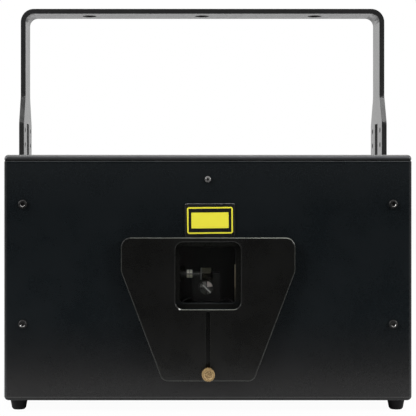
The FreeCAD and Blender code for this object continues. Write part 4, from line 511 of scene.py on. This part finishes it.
screw_black = finish("black_oxide", (0.004, 0.004, 0.004), (0.014, 0.0137, 0.0133), 0.44, metal=0.2,
                     patch=0.003, grain=0.0002, bump=0.10, specular=0.35)
# Bright steel that paints a highlight on the socket lips of screws
lip_highlight_steel = finish("lip_highlight_steel", (0.14, 0.137, 0.133), (0.38, 0.372, 0.364), 0.30, metal=0.9,
                      patch=0.0012, grain=0.0002)
worn_zinc = finish("worn_zinc", (0.09, 0.09, 0.09), (0.27, 0.265, 0.26), 0.36, metal=0.6,
                   patch=0.0018, grain=0.0002, bump=0.10)
zinc = finish("zinc_steel", (0.50, 0.51, 0.53), (0.62, 0.62, 0.60), 0.32, metal=1.0, patch=0.006, bump=0.06)
brass = finish("brass", (0.34, 0.23, 0.105), (0.46, 0.33, 0.155), 0.36, metal=1.0, patch=0.003,
               grain=0.00015, bump=0.10)
thumb_brass = finish("turned_brass", (0.19, 0.118, 0.042), (0.33, 0.22, 0.09), 0.50, metal=0.25,
                     patch=0.0011, grain=0.0004, bump=0.30, edge=(0.42, 0.30, 0.14), edge_width=0.0005,
                     edge_even=True)
rubber = finish("rubber", (0.0030, 0.0030, 0.0034), (0.0055, 0.0055, 0.006), 0.60, patch=0.006,
                grain=0.0004, bump=0.20, specular=0.15)
flat_black = finish("flat_black", (0.0025, 0.0025, 0.0022), (0.0045, 0.0045, 0.0040), 0.55, patch=0.01,
                    bump=0.10, specular=0.2)
shaft_steel = finish("shaft_steel", (0.03, 0.03, 0.03), (0.06, 0.06, 0.058), 0.30, metal=1.0, patch=0.003,
                     grain=0.0002, bump=0.06)
fibre = finish("fibre", (0.03, 0.028, 0.026), (0.06, 0.055, 0.05), 0.85, patch=0.004, bump=0.3)
clear = glass("clear_glass", (0.97, 0.985, 0.975))
silver = finish("first_surface_mirror", (0.82, 0.84, 0.86), (0.88, 0.89, 0.91), 0.05, metal=1.0,
                rough_play=0.02, grain=0.002, bump=0.0)
dim_silver = finish("dim_mirror", (0.15, 0.145, 0.13), (0.17, 0.165, 0.15), 0.05, metal=1.0,
                    rough_play=0.02, grain=0.002, bump=0.0)
plastic = finish("black_plastic", (0.012, 0.012, 0.0125), (0.020, 0.020, 0.021), 0.48, patch=0.01,
                 grain=0.0004, bump=0.15)
glossy = finish("gloss_switch", (0.008, 0.008, 0.0085), (0.012, 0.012, 0.0125), 0.18, patch=0.01,
                rough_play=0.05, grain=0.0005, bump=0.02)
aluminium = finish("bare_aluminium", (0.55, 0.56, 0.57), (0.68, 0.68, 0.68), 0.34, metal=1.0, patch=0.02,
                   stretch=(1.0, 0.06, 1.0))
# The clamp's lobes in one finish with three tones: grey, pale as a painted highlight, and dark as painted
# shade
JAW_LOOK = {"rough": 0.48, "metal": 0.3, "patch": 0.002, "grain": 0.0002}
jaw_grey = finish("clamp_grey", (0.145, 0.14, 0.133), (0.215, 0.205, 0.195), **JAW_LOOK)
jaw_pale = finish("clamp_pale", (0.38, 0.335, 0.32), (0.50, 0.44, 0.425), **JAW_LOOK)
jaw_dark = finish("clamp_dark", (0.035, 0.037, 0.030), (0.07, 0.07, 0.06), **JAW_LOOK)
# The collars: upper halves in the bright finish, lower halves in a darker copy as painted shade
COLLAR_LOOK = {"patch": 0.002, "grain": 0.0002, "bump": 0.06}
collar_bright = finish("clamp_bright", (0.74, 0.72, 0.64), (0.82, 0.80, 0.72), 0.35, **COLLAR_LOOK)
collar_shaded = finish("clamp_shaded", (0.41, 0.39, 0.31), (0.50, 0.48, 0.39), 0.38, **COLLAR_LOOK)
baffle_brown = finish("baffle_brown", (0.66, 0.55, 0.36), (0.80, 0.68, 0.46), 0.45, metal=0.4, patch=0.006)
nickel = finish("nickel", (0.38, 0.37, 0.35), (0.52, 0.51, 0.48), 0.28, metal=1.0, patch=0.005, bump=0.04)
board_green = finish("circuit_board", (0.008, 0.07, 0.03), (0.012, 0.10, 0.045), 0.35, patch=0.008,
                     grain=0.0005, bump=0.1)
plate_black = finish("plate_black", (0.007, 0.007, 0.0075), (0.010, 0.010, 0.0105), 0.30, patch=0.01,
                     bump=0.04, specular=0.4, edge=(0.09, 0.09, 0.09), edge_width=0.0004,
                     edge_side=0.2, edge_below=0.05, edge_even=True)
plate_yellow = finish("plate_yellow", (0.80, 0.73, 0.045), (0.84, 0.77, 0.055), 0.40, patch=0.01,
                      bump=0.04, rough_play=0.05)
BY_SLOT = {
    "black_powder_coat": powder, "black_front": front_paint, "black_anodised": anodised,
    "bracket_black": bracket_paint, "black_oxide": screw_black, "zinc_steel": zinc, "brass": brass,
    "rubber": rubber, "fibre": fibre, "clear_glass": clear, "first_surface_mirror": silver,
    "black_plastic": plastic, "gloss_switch": glossy, "indicator": plastic,
    "bare_aluminium": aluminium, "nickel": nickel, "circuit_board": board_green,
}
for entry in frame["record"]["subparts"]:
    piece = nodes[entry["node"]]
    piece.data.materials.clear()
    piece.data.materials.append(BY_SLOT[entry["material_slot"]])
OTHER_FINISH = {
    "pan_galvo_motor": flat_black, "tilt_galvo_motor": flat_black, "scanner_block": flat_black,
    "mirror_mounts": flat_black, "window_retainer": flat_black, "pan_mirror_shaft": shaft_steel,
    "tilt_mirror_shaft": shaft_steel, "brass_thumb_screw": thumb_brass,
}
for name, material in OTHER_FINISH.items():
    nodes[name].data.materials[0] = material


# Marks on single nodes
ALONG_Y = (1.0, 0.0, 1.0)  # leaves the distance along Y out


def own_finish(node, material):
    """A copy of a finish for one node, which its marks belong to."""
    copy = material.copy()
    nodes[node].data.materials[0] = copy
    return copy, copy.node_tree


def middle_of(node):
    low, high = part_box(node)
    return (low + high) / 2


def mark_thumb_screw():
    """Turning marks, and specks of tarnish and of bare brass on the face inside the rim."""
    tree = thumb_brass.node_tree
    middle = middle_of("brass_thumb_screw")
    add_rings(thumb_brass, middle, ALONG_Y)
    specks = noise(tree, object_place(tree), THUMB_SPECK * MM, *SPECK_NOISE)
    face = near(tree, middle, THUMB_FACE * MM, ALONG_Y)
    tint(thumb_brass, all_of(tree, face, spread(tree, specks, *TARNISH_RANGE)), TARNISH_TONE)
    tint(thumb_brass, all_of(tree, face, spread(tree, specks, *BARE_RANGE)), BARE_TONE)


def mark_front_panel():
    """A painted reflection that fades down from the top, a greyer tone towards the foot, painted highlights
    along the sides, a dark line and a pale line with a painted highlight along the foot, and shade and
    painted light inside the window.
    """
    material, tree = own_finish("front_panel", front_paint)
    low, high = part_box("front_panel")
    up = coordinate(tree, "Z")

    def band(half, lower, upper):
        """1 on the panel's front, within half a width and between two heights."""
        return inside(tree, (-half, low.y - MM, lower), (half, high.y, upper))

    # Painted reflection: paler down from the top edge, fading out just under it
    paler = all_of(tree, fade(tree, up, high.z, PANEL_PALER), fade(tree, up, high.z, PANEL_UNDER_TOP))
    tint(material, paler, REFLECTION_TONE)
    greyer = all_of(tree, fade(tree, up, low.z, PANEL_GREYER), fade(tree, up, low.z, PANEL_OVER_FOOT))
    tint(material, greyer, GREYER_TONE)
    # A dark line along the foot, and above it a pale line with a painted highlight
    for (lower, upper), tone in ((PANEL_DARK_LINE, DARK_LINE_TONE), (PANEL_PALE_LINE, HIGHLIGHT_LINE_TONE)):
        tint(material, band(high.x, low.z + lower * MM, low.z + upper * MM), tone)
    # Painted highlights along the sides
    away = calc(tree, "ABSOLUTE", coordinate(tree, "X"))
    tint(material, fade(tree, away, high.x, PANEL_SIDES), SIDE_HIGHLIGHT_TONE)
    reach = (SILL_HALF + PANEL_BESIDE) * MM
    for lower, upper in PANEL_SHADED:
        tint(material, band(reach, (SILL_UP + lower) * MM, (SILL_UP + upper) * MM), SHADED_TONE)
    # Painted light on the panel in the window's upper part
    cover_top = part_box("aperture_cover_plate")[1].z
    tint(material, band(reach, (SILL_UP + PANEL_LIT) * MM, cover_top - MM), LIT_TONE)


def mark_cover_plate():
    """Painted highlights on the outer edges, painted shade with a rougher finish on one outer corner and
    beside the sill's ends, painted shade on the rim round the window, a painted highlight on its sill and a
    painted glint at the sill's left end.
    """
    material, tree = own_finish("aperture_cover_plate", anodised)
    low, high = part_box("aperture_cover_plate")
    edges, upper_edges = rounded_edge(tree, 1.0, 1.0), rounded_edge(tree, 0.0, 0.0)
    half, sill = SILL_HALF * MM, SILL_UP * MM
    reach = half + RIM_BESIDE * MM
    rim_foot = sill + RIM_UP * MM
    sill_foot = sill - SILL_BAND * MM
    top_band = high.z - COVER_TOP_BAND * MM

    def patch(left, right, lower, upper):
        """1 on the plate between these sides and heights."""
        return inside(tree, (left, low.y, lower), (right, 0.0, upper))

    # Painted highlight on the lower edges
    foot = patch(-FAR, FAR, low.z - MM, low.z + COVER_FOOT_BAND * MM)
    tint(material, all_of(tree, foot, edges), FOOT_EDGE_TONE)
    # Painted shade on the rim round the window
    rim = patch(-reach, reach, rim_foot, top_band)
    tint(material, all_of(tree, rim, RIM_SHARE), PAINTED_SHADE_TONE)
    # Painted shade and a rougher finish on the corners beside the sill and at the upper left
    width, height = in_metres(COVER_CORNER)
    corners = any_of(
        tree,
        patch(-reach, -half - RIM_LEFT_GAP * MM, sill_foot, rim_foot),
        patch(half, reach, sill_foot, rim_foot),
        patch(low.x - MM, low.x + width, high.z - height, high.z + MM),
    )
    tint(material, all_of(tree, corners, edges), PAINTED_SHADE_TONE, CORNER_ROUGH)
    # Painted highlight on the top edge, stronger to the right
    rightward = fade(tree, coordinate(tree, "X"), 0.0, COVER_TOP_BRIGHT)
    top = all_of(tree, patch(-FAR, FAR, top_band, high.z + MM), rightward, upper_edges)
    tint(material, top, TOP_EDGE_TONE)
    # Painted highlight on the sill
    bright = patch(-half, half, sill_foot, sill + SILL_BAND * MM)
    tint(material, all_of(tree, bright, upper_edges), SILL_TONE)
    # Painted glint at the sill's left end
    spot = distance_from(tree, (-half + SPOT_INSET * MM, low.y, sill))
    tint(material, fade(tree, spot, 0.0, SPOT_RADII), SPOT_TONE)


def mark_scanner():
    """The pan mirror's dull front, the tilt mirror's dark half and edge, and the baffle's dark foot."""
    material, tree = own_finish("pan_mirror", silver)
    tint(material, spread(tree, facing(tree, "Y"), *PAN_FRONT), *PAN_FRONT_LOOK)
    material, tree = own_finish("tilt_mirror", dim_silver)
    low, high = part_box("tilt_mirror")
    across = coordinate(tree, "X")
    upper = fade(tree, coordinate(tree, "Z"), (low.z + high.z) / 2, TILT_UPPER)
    tint(material, all_of(tree, upper, fade(tree, across, high.x, TILT_INNER)), *TILT_UPPER_LOOK)
    tint(material, fade(tree, across, low.x, TILT_EDGE), *TILT_EDGE_LOOK)
    material, tree = own_finish("beam_baffle", baffle_brown)
    tint(material, fade(tree, coordinate(tree, "Z"), 0.0, BAFFLE_DARK), BAFFLE_DARK_TONE)


def mark_lid():
    """A painted highlight along the lid's front rim, stronger to the right."""
    material, tree = own_finish("top_cover", lid_paint)
    low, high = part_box("top_cover")
    up = coordinate(tree, "Z")
    band = all_of(
        tree,
        fade(tree, up, high.z, LID_BAND_TOP),
        fade(tree, up, high.z, LID_BAND_FOOT),
        spread(tree, coordinate(tree, "X"), low.x, high.x / 2, LID_LEFT_SHARE, 1.0),
        fade(tree, coordinate(tree, "Y"), low.y, LID_BAND_DEPTH),
    )
    tint(material, band, LID_BAND_TONE)


def mark_bracket():
    """Painted shade and a rougher finish along the slots, where the guides and washers slide."""
    material, tree = own_finish("mounting_bracket", bracket_paint)
    low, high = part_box("left_slot_guide")
    reach = (BRACKET_SLOT_WIDTH / 2 + SLOT_RIM) * MM
    top = (low.z + high.z) / 2 + BRACKET_SLOT_TOP * MM
    rim = inside(tree, (-FAR, -reach, low.z), (FAR, reach, top))
    tint(material, rim, SLOT_SHADE_TONE, SLOT_RIM_ROUGH)


def pin_places(middle):
    """The three contacts of a round connector, seen from behind."""
    places = []
    for angle in XLR_PIN_ANGLES:
        turn = math.radians(angle)
        places.append(middle + Vector((-math.cos(turn), 0.0, math.sin(turn))) * XLR_PIN_CIRCLE * MM)
    return places


def mark_contacts():
    """Pins of the inlet and of the round connectors, and the dark wells of the signal sockets."""
    material, tree = own_finish("power_inlet", plastic)
    row = middle_of("power_inlet")
    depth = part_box("power_inlet")[1].y - INLET_PIN_DEPTH * MM
    reach = Vector(INLET_PIN_SIZE) / 2 * MM
    pins = []
    for across, up in INLET_PINS:
        place = Vector((row.x + across * MM, depth, row.z + up * MM))
        pins.append(inside(tree, place - reach, place + reach))
    tint(material, any_of(tree, *pins), *TIN_LOOK)
    for node, places in (("dmx_connectors", DMX_PLACES), ("interlock_connector", INTERLOCK_PLACES)):
        material, tree = own_finish(node, plastic)
        pins = []
        for across in places:
            for place in pin_places(Vector((across * MM, 0.0, row.z))):
                pins.append(near(tree, place, XLR_PIN_RADIUS * MM, ALONG_Y))
        tint(material, any_of(tree, *pins), *TIN_LOOK)
    material, tree = own_finish("signal_connectors", nickel)
    low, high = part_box("signal_connectors")
    middle = (low + high) / 2
    width, height = in_metres(SIGNAL_WELL)
    wells = []
    for side in (-1, 1):
        up = middle.z + side * SIGNAL_STACK / 2 * MM
        left_foot = (middle.x - width / 2, low.y - MM, up - height / 2)
        right_top = (middle.x + width / 2, high.y - SIGNAL_RIM * MM, up + height / 2)
        wells.append(inside(tree, left_foot, right_top))
    tint(material, any_of(tree, *wells), *WELL_LOOK)


def mark_controls():
    """The lamp's lens, the lock's plug, and the bar and ring on the rocker."""
    material, tree = own_finish("emission_indicator", plastic)
    lens = near(tree, middle_of("emission_indicator"), LENS_RADIUS * MM, ALONG_Y)
    tint(material, lens, *LENS_LOOK)
    material, tree = own_finish("key", nickel)
    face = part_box("key_switch_barrel")[1].y
    plug = calc(tree, "LESS_THAN", coordinate(tree, "Y"), face + PLUG_MARGIN * MM)
    tint(material, plug, *GOLD_LOOK)
    material, tree = own_finish("rocker", glossy)
    middle = middle_of("rocker")
    width, height = in_metres(ROCKER_BAR)
    foot = middle.z + ROCKER_BAR_RISE * MM
    bar = inside(tree, (middle.x - width / 2, 0.0, foot), (middle.x + width / 2, FAR, foot + height))
    ring_at = middle - Vector((0.0, 0.0, ROCKER_RING_DROP * MM))
    outer, inner = (near(tree, ring_at, radius * MM, ALONG_Y) for radius in ROCKER_RING)
    tint(material, any_of(tree, bar, calc(tree, "SUBTRACT", outer, inner)), MARK_TONE)


mark_thumb_screw()
mark_front_panel()
mark_cover_plate()
mark_scanner()
mark_lid()
mark_bracket()
mark_contacts()
mark_controls()


# Shapes
def add_piece(name, mesh, material, body):
    piece = bpy.data.objects.new(name, mesh)
    scene.collection.objects.link(piece)
    mesh.materials.append(material)
    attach(piece, body)
    return piece


def merged(name, meshes):
    """One mesh of several."""
    parts = bmesh.new()
    for mesh in meshes:
        parts.from_mesh(mesh)
    whole = bpy.data.meshes.new(name)
    parts.to_mesh(whole)
    parts.free()
    return whole


def rounded_outline(width, height, radius):
    """Points round a rectangle with rounded corners, anticlockwise from the lower right."""
    points = []
    for corner, (sx, sy) in enumerate(((1, -1), (1, 1), (-1, 1), (-1, -1))):
        cx, cy = sx * (width / 2 - radius), sy * (height / 2 - radius)
        for i in range(CORNER_STEPS + 1):
            angle = math.radians(-90 + 90 * corner + 90 * i / CORNER_STEPS)
            points.append((cx + radius * math.cos(angle), cy + radius * math.sin(angle)))
    return points


def round_outline(radius, sides):
    angles = [2 * math.pi * i / sides for i in range(sides)]
    return [(radius * math.cos(angle), radius * math.sin(angle)) for angle in angles]


def at_height(outline, z):
    return [(x, y, z) for x, y in outline]


def loft(rings):
    """A closed mesh through rings of (x, y, z) points, capped at both ends."""
    mesh = bpy.data.meshes.new("loft")
    bm = bmesh.new()
    made = [[bm.verts.new(p) for p in ring] for ring in rings]
    for lower, upper in zip(made, made[1:]):
        for i in range(len(lower)):
            j = (i + 1) % len(lower)
            bm.faces.new((lower[i], lower[j], upper[j], upper[i]))
    bm.faces.new(list(reversed(made[0])))
    bm.faces.new(made[-1])
    bm.normal_update()
    bm.to_mesh(mesh)
    bm.free()
    return mesh


def ring_loft(outer, inner, low, high):
    """A closed frame between two outlines with equal counts of points, from low to high."""
    mesh = bpy.data.meshes.new("ring")
    bm = bmesh.new()
    rows = []
    for z in (low, high):
        rows.append([[bm.verts.new(p) for p in at_height(outline, z)] for outline in (outer, inner)])
    (ol, il), (oh, ih) = rows
    count = len(outer)
    for i in range(count):
        j = (i + 1) % count
        bm.faces.new((ol[i], ol[j], oh[j], oh[i]))
        bm.faces.new((il[j], il[i], ih[i], ih[j]))
        bm.faces.new((oh[i], oh[j], ih[j], ih[i]))
        bm.faces.new((ol[j], ol[i], il[i], il[j]))
    bm.normal_update()
    bm.to_mesh(mesh)
    bm.free()
    return mesh


def to_front(mesh, across, up, y, turn=0.0):
    """Turns a mesh drawn in x and y, with z towards the viewer, on to the front at this place."""
    turned = Matrix.Rotation(math.radians(turn), 4, "Z")
    upright = Matrix(((1, 0, 0, across), (0, 0, -1, y), (0, 1, 0, up), (0, 0, 0, 1)))
    mesh.transform(upright @ turned)
    return mesh


def to_rear(mesh, across, up, y):
    """Turns a mesh drawn in x and y, with z towards the viewer, on to the rear at this place."""
    mesh.transform(Matrix(((-1, 0, 0, across), (0, 0, 1, y), (0, 1, 0, up), (0, 0, 0, 1))))
    return mesh


FRONT_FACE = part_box("front_panel")[0].y


def bare_plate():
    """A black plate with a yellow border and a yellow field, with nothing written on it."""
    across, up = in_metres(PLATE_PLACE)
    width, height = in_metres(PLATE_SIZE)
    thick, edge, corner = PLATE_THICKNESS * MM, PLATE_EDGE * MM, PLATE_CORNER * MM
    rings = []
    for z, inset in ((0.0, 0.0), (thick - edge, 0.0), (thick, edge)):
        rings.append(at_height(rounded_outline(width - 2 * inset, height - 2 * inset, corner - inset), z))
    base = to_front(loft(rings), across, up, FRONT_FACE, PLATE_TURN / 2)
    add_piece("plate_base", base, plate_black, "housing")
    bottom, top = thick - PAINT_LIFT * MM, thick + PAINT_LIFT * MM
    width, height = in_metres(BORDER_SIZE)
    line = BORDER_LINE * MM
    outer = rounded_outline(width, height, BORDER_CORNER * MM)
    inner = rounded_outline(width - 2 * line, height - 2 * line, BORDER_INNER_CORNER * MM)
    border = to_front(ring_loft(outer, inner, bottom, top), across, up, FRONT_FACE, PLATE_TURN)
    add_piece("plate_border", border, plate_yellow, "housing")
    width, height = in_metres(FIELD_SIZE)
    outline = rounded_outline(width, height, FIELD_CORNER * MM)
    field = loft([at_height(outline, z) for z in (bottom, top)])
    field = to_front(field, across, up, FRONT_FACE, PLATE_TURN)
    add_piece("plate_field", field, plate_yellow, "housing")


def jaw_outline(first, first_half, last, last_half):
    """One lobe of a disc between two slits that start at its middle."""
    opening = last - first
    reach = (first_half * math.cos(opening) + last_half) / math.sin(opening)
    x = reach * math.cos(first) - first_half * math.sin(first)
    y = reach * math.sin(first) + first_half * math.cos(first)
    outline = [(x, y)]
    radius = JAW_RADIUS * MM
    start, end = first + math.asin(first_half / radius), last - math.asin(last_half / radius)
    for i in range(JAW_STEPS + 1):
        angle = start + (end - start) * i / JAW_STEPS
        outline.append((radius * math.cos(angle), radius * math.sin(angle)))
    return outline


def jaw(outline, low, high):
    """An upright block over an outline, its upper edges drawn in."""
    middle = [sum(p[i] for p in outline) / len(outline) for i in (0, 1)]
    shrunk = [[m + (v - m) * (1.0 - JAW_BEVEL) for m, v in zip(middle, p)] for p in outline]
    shoulder = high - (high - low) * JAW_BEVEL
    return loft([at_height(outline, low), at_height(outline, shoulder), at_height(shrunk, high)])


def pan_clamp():
    """Lobes of the split clamp that grips the pan mirror, in front of the motor's face."""
    bottom, top = in_metres(JAW_REACH)
    lobes = []
    for i, (angle, half, _) in enumerate(JAW_SLITS):
        after, after_half, _ = JAW_SLITS[(i + 1) % len(JAW_SLITS)]
        after += 360 if after < angle else 0
        outline = jaw_outline(math.radians(angle), half * MM, math.radians(after), after_half * MM)
        lobes.append(jaw(outline, bottom, top))
    mesh = merged("pan_clamp_jaws", lobes)
    middle = middle_of("pan_mirror")
    to_front(mesh, middle.x, middle.z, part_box("pan_galvo_motor")[0].y)
    add_piece("pan_clamp_jaws", mesh, jaw_grey, "pan_rotor")
    mesh.materials.append(jaw_pale)
    mesh.materials.append(jaw_dark)
    each = len(mesh.polygons) // len(lobes)
    # Each lobe takes its tone of painted light or shade
    for face in mesh.polygons:
        face.material_index = JAW_SLITS[face.index // each][2]


def half_collar(side):
    """Outline of the upper or lower half of a split collar, seen along its shaft."""
    slit = COLLAR_SLIT * MM
    outline = []
    for radius, order in zip(in_metres(COLLAR_RADII), (1, -1)):
        first = math.asin(slit / radius)
        angles = [first + (math.pi - 2 * first) * i / COLLAR_STEPS for i in range(COLLAR_STEPS + 1)]
        outline += [(radius * math.cos(a), side * radius * math.sin(a)) for a in angles[::order]]
    return outline if side > 0 else outline[::-1]


def tilt_clamp():
    """Two split collars on the tilt mirror's shaft, beside the motor's face."""
    shaft = middle_of("tilt_mirror_shaft")
    motor_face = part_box("tilt_galvo_motor")[1].x
    halves = []
    for start in COLLAR_STARTS:
        ends = (motor_face + start * MM, motor_face + (start + COLLAR_WIDTH) * MM)
        for side in (-1, 1):
            outline = half_collar(side)
            halves.append(loft([[(x, shaft.y + a, shaft.z + b) for a, b in outline] for x in ends]))
    mesh = merged("tilt_clamp_jaws", halves)
    add_piece("tilt_clamp_jaws", mesh, collar_bright, "tilt_rotor")
    mesh.materials.append(collar_shaded)
    each = len(mesh.polygons) // len(halves)
    # The lower halves take the copy in painted shade
    for face in mesh.polygons:
        face.material_index = 1 - face.index // each % 2


def hexagon(across, z):
    """A hexagon with as many points as a button head's circles."""
    points = []
    for i in range(HEAD_SIDES):
        angle = 2 * math.pi * i / HEAD_SIDES
        size = across / 2 / math.cos(angle % (math.pi / 3) - math.pi / 6)
        points.append((size * math.cos(angle), size * math.sin(angle), z))
    return points


def socket_head(radius, height, across, shank):
    """A button head on z = 0 with a hexagon socket, with three materials."""
    def circle(size, z):
        return at_height(round_outline(size, HEAD_SIDES), z)

    neck, wall = HEAD_SHANK * radius, HEAD_WALL * height
    mouth = across / math.sqrt(3) + MOUTH_MARGIN * radius
    rings = [circle(neck, -shank), circle(neck, 0.0), circle(radius, 0.0), circle(radius, wall)]
    for turn in HEAD_ARC:
        angle = turn * math.pi / 2
        edge = radius - (radius - mouth) * (1 - math.cos(angle)) * HEAD_DOME
        rings.append(circle(edge, wall + (height - wall) * math.sin(angle)))
    flank = len(rings) - len(HEAD_ARC) + 1
    rings.append(circle(mouth, height))
    chamfer = len(rings) - 1
    rings += [hexagon(across, share * height) for share in SOCKET_HEIGHTS]
    rings.append(circle(SOCKET_TIP[0] * radius, SOCKET_TIP[1] * height))
    mesh = loft(rings)
    # The side and the dome's outer ring take the FLANK material, which is painted shade on the black screws
    for face in mesh.polygons[:flank * HEAD_SIDES]:
        face.material_index = FLANK
    # The faces of the socket's chamfer that face up take the material of the painted highlight
    for face in mesh.polygons[chamfer * HEAD_SIDES:(chamfer + 1) * HEAD_SIDES]:
        if face.normal.y > LIP_FACING:
            face.material_index = LOWER_LIP
    mesh.shade_smooth()
    mesh.set_sharp_from_angle(angle=math.radians(HEAD_SHARP))
    return mesh


def panel_screws():
    """The front panel's screws, with a painted highlight on the socket mouths' lower lips and painted shade
    on the corner screws' sides, in the places of their plain solids.
    """
    low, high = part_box("front_panel")
    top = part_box("top_cover")[1].z
    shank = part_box("front_panel_screws")[1].y - FRONT_FACE
    side = high.x - SCREW_SIDE_INSET * MM
    heights = (low.z + SCREW_RISE * MM, top - SCREW_DROP * MM)
    corners = [(x, z) for x in (-side, side) for z in heights]
    centre = [(0.0, top - CENTRE_DROP * MM)]
    groups = (
        ("corner_screws", CORNER_HEAD, corners, (screw_black, lip_highlight_steel, flat_black)),
        ("centre_screw", CENTRE_HEAD, centre, (worn_zinc, lip_highlight_steel, worn_zinc)),
    )
    for name, head, places, finishes in groups:
        heads = []
        for number, (x, z) in enumerate(places):
            mesh = socket_head(*in_metres(head), shank)
            heads.append(to_front(mesh, x, z, FRONT_FACE, SCREW_TURN * number))
        piece = add_piece(name, merged(name, heads), finishes[CROWN], "housing")
        piece.data.materials.append(finishes[LOWER_LIP])
        piece.data.materials.append(finishes[FLANK])
        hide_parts("front_panel_screws")


def round_connector_trim():
    """Lips, flange screws and latches of the round connectors."""
    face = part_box("dmx_connectors")[1].y
    up = middle_of("power_inlet").z
    lips, latches, screws = [], [], []
    for across in DMX_PLACES + INTERLOCK_PLACES:
        outer, inner = (round_outline(radius * MM, LIP_SIDES) for radius in LIP_RADII)
        lips.append(to_rear(ring_loft(outer, inner, 0.0, LIP_HEIGHT * MM), across * MM, up, face))
        for x, z in FLANGE_SCREWS:
            head = socket_head(*in_metres(FLANGE_HEAD), FLANGE_SHANK * MM)
            screws.append(to_rear(head, across * MM - x * MM, up + z * MM, face))
    for across in (DMX_PLACES[1],) + INTERLOCK_PLACES:
        rings = []
        for width, height, z in LATCH_LEVELS:
            rings.append(at_height(rounded_outline(width * MM, height * MM, LATCH_CORNER * MM), z * MM))
        latches.append(to_rear(loft(rings), across * MM, up + LATCH_RISE * MM, face))
    add_piece("connector_lips", merged("connector_lips", lips), plastic, "housing")
    add_piece("connector_latches", merged("connector_latches", latches), nickel, "housing")
    heads = merged("connector_screws", screws)
    add_piece("connector_screws", heads, screw_black, "housing")
    # The socket lips carry a painted highlight and the sides painted shade
    heads.materials.append(lip_highlight_steel)
    heads.materials.append(flat_black)


def signal_contacts():
    """The rows of contacts in the two signal sockets."""
    middle = middle_of("signal_connectors")
    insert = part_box("signal_connectors")[1].y - CONTACT_DROP * MM
    contacts = []
    for side in (-1, 1):
        for count, rise in CONTACT_ROWS:
            up = middle.z + (side * SIGNAL_STACK / 2 + rise) * MM
            for i in range(count):
                outer, inner = (round_outline(radius * MM, CONTACT_SIDES) for radius in CONTACT_RADII)
                cup = ring_loft(outer, inner, 0.0, CONTACT_HEIGHT * MM)
                x = (i - (count - 1) / 2) * CONTACT_PITCH
                contacts.append(to_rear(cup, middle.x - x * MM, up, insert))
    add_piece("signal_contacts", merged("signal_contacts", contacts), brass, "housing")


bare_plate()
pan_clamp()
tilt_clamp()
panel_screws()
round_connector_trim()
signal_contacts()


def soften(name, width):
    piece = nodes[name]
    weld = piece.modifiers.new("weld", "WELD")
    weld.merge_threshold = SOFT_WELD * MM
    flat = piece.modifiers.new("flats", "DECIMATE")
    flat.decimate_type = "DISSOLVE"
    flat.angle_limit = math.radians(SOFT_FLAT)
    bevel = piece.modifiers.new("edges", "BEVEL")
    bevel.width = width
    bevel.segments = SOFT_SEGMENTS
    bevel.limit_method = "ANGLE"
    bevel.angle_limit = math.radians(SOFT_LIMIT)
    bevel.harden_normals = True


for name, width in SOFT_EDGES:
    soften(name, width * MM)


# Floor, lamps, world and camera
def make_floor():
    mesh = bpy.data.meshes.new("floor")
    half = FLOOR_SIZE / 2
    corners = [(-half, -FLOOR_FRONT, 0), (half, -FLOOR_FRONT, 0), (half, half, 0), (-half, half, 0)]
    mesh.from_pydata(corners, [], [(0, 1, 2, 3)])
    floor = bpy.data.objects.new("floor", mesh)
    scene.collection.objects.link(floor)
    material, tree, _ = new_material("floor_white")
    tree.nodes.clear()
    diffuse = add_node(tree, "ShaderNodeBsdfDiffuse", {"Color": grey(FLOOR_COLOUR)})
    glow = add_node(tree, "ShaderNodeEmission", {"Color": grey(1.0), "Strength": 1.0})
    path = add_node(tree, "ShaderNodeLightPath")
    seen = calc(tree, "MULTIPLY", path.outputs["Is Camera Ray"], FLOOR_SHOW)
    mixed = add_node(tree, "ShaderNodeMixShader", {0: seen, 1: diffuse.outputs[0], 2: glow.outputs[0]})
    add_node(tree, "ShaderNodeOutputMaterial", {"Surface": mixed.outputs[0]})
    mesh.materials.append(material)


def make_lamps():
    for name, place, width, height, power in KEY_LAMPS:
        light = bpy.data.lights.new(name, "AREA")
        light.shape = "RECTANGLE"
        light.size = width
        light.size_y = height
        light.energy = power
        lamp = bpy.data.objects.new(name, light)
        scene.collection.objects.link(lamp)
        lamp.location = place
        lamp.rotation_euler = (LAMP_AIM - Vector(place)).to_track_quat("-Z", "Y").to_euler()


def make_world():
    world = bpy.data.worlds.new("studio")
    scene.world = world
    world.use_nodes = True
    tree = world.node_tree
    tree.nodes.clear()
    way = add_node(tree, "ShaderNodeTexCoord").outputs["Generated"]
    parts = add_node(tree, "ShaderNodeSeparateXYZ", {0: way})
    behind = spread(tree, parts.outputs["Y"], *BACK_TURN)
    above = spread(tree, parts.outputs["Z"], *TOP_TURN)
    side = spread(tree, parts.outputs["X"], *SIDE_TURN)
    back = mix_colour(tree, side, grey(BACK_LEVELS[0]), grey(BACK_LEVELS[1]))
    studio = mix_colour(tree, behind, grey(FRONT_LEVEL), back)
    studio = mix_colour(tree, above, studio, grey(TOP_LEVEL))
    room = add_node(tree, "ShaderNodeBackground", {"Color": studio, "Strength": 1.0})
    white = add_node(tree, "ShaderNodeBackground", {"Color": grey(1.0), "Strength": 1.0})
    path = add_node(tree, "ShaderNodeLightPath")
    seen = calc(tree, "MAXIMUM", path.outputs["Is Camera Ray"], path.outputs["Is Transmission Ray"])
    mixed = add_node(tree, "ShaderNodeMixShader", {0: seen, 1: room.outputs[0], 2: white.outputs[0]})
    add_node(tree, "ShaderNodeOutputWorld", {"Surface": mixed.outputs[0]})


def make_camera():
    data = bpy.data.cameras.new("camera")
    data.lens = CAMERA_LENS
    data.sensor_width = CAMERA_SENSOR
    data.shift_x, data.shift_y = CAMERA_SHIFT
    camera = bpy.data.objects.new("camera", data)
    scene.collection.objects.link(camera)
    camera.location = CAMERA_PLACE
    camera.rotation_euler = (math.radians(90), 0, 0)
    scene.camera = camera


make_floor()
make_lamps()
make_world()
make_camera()
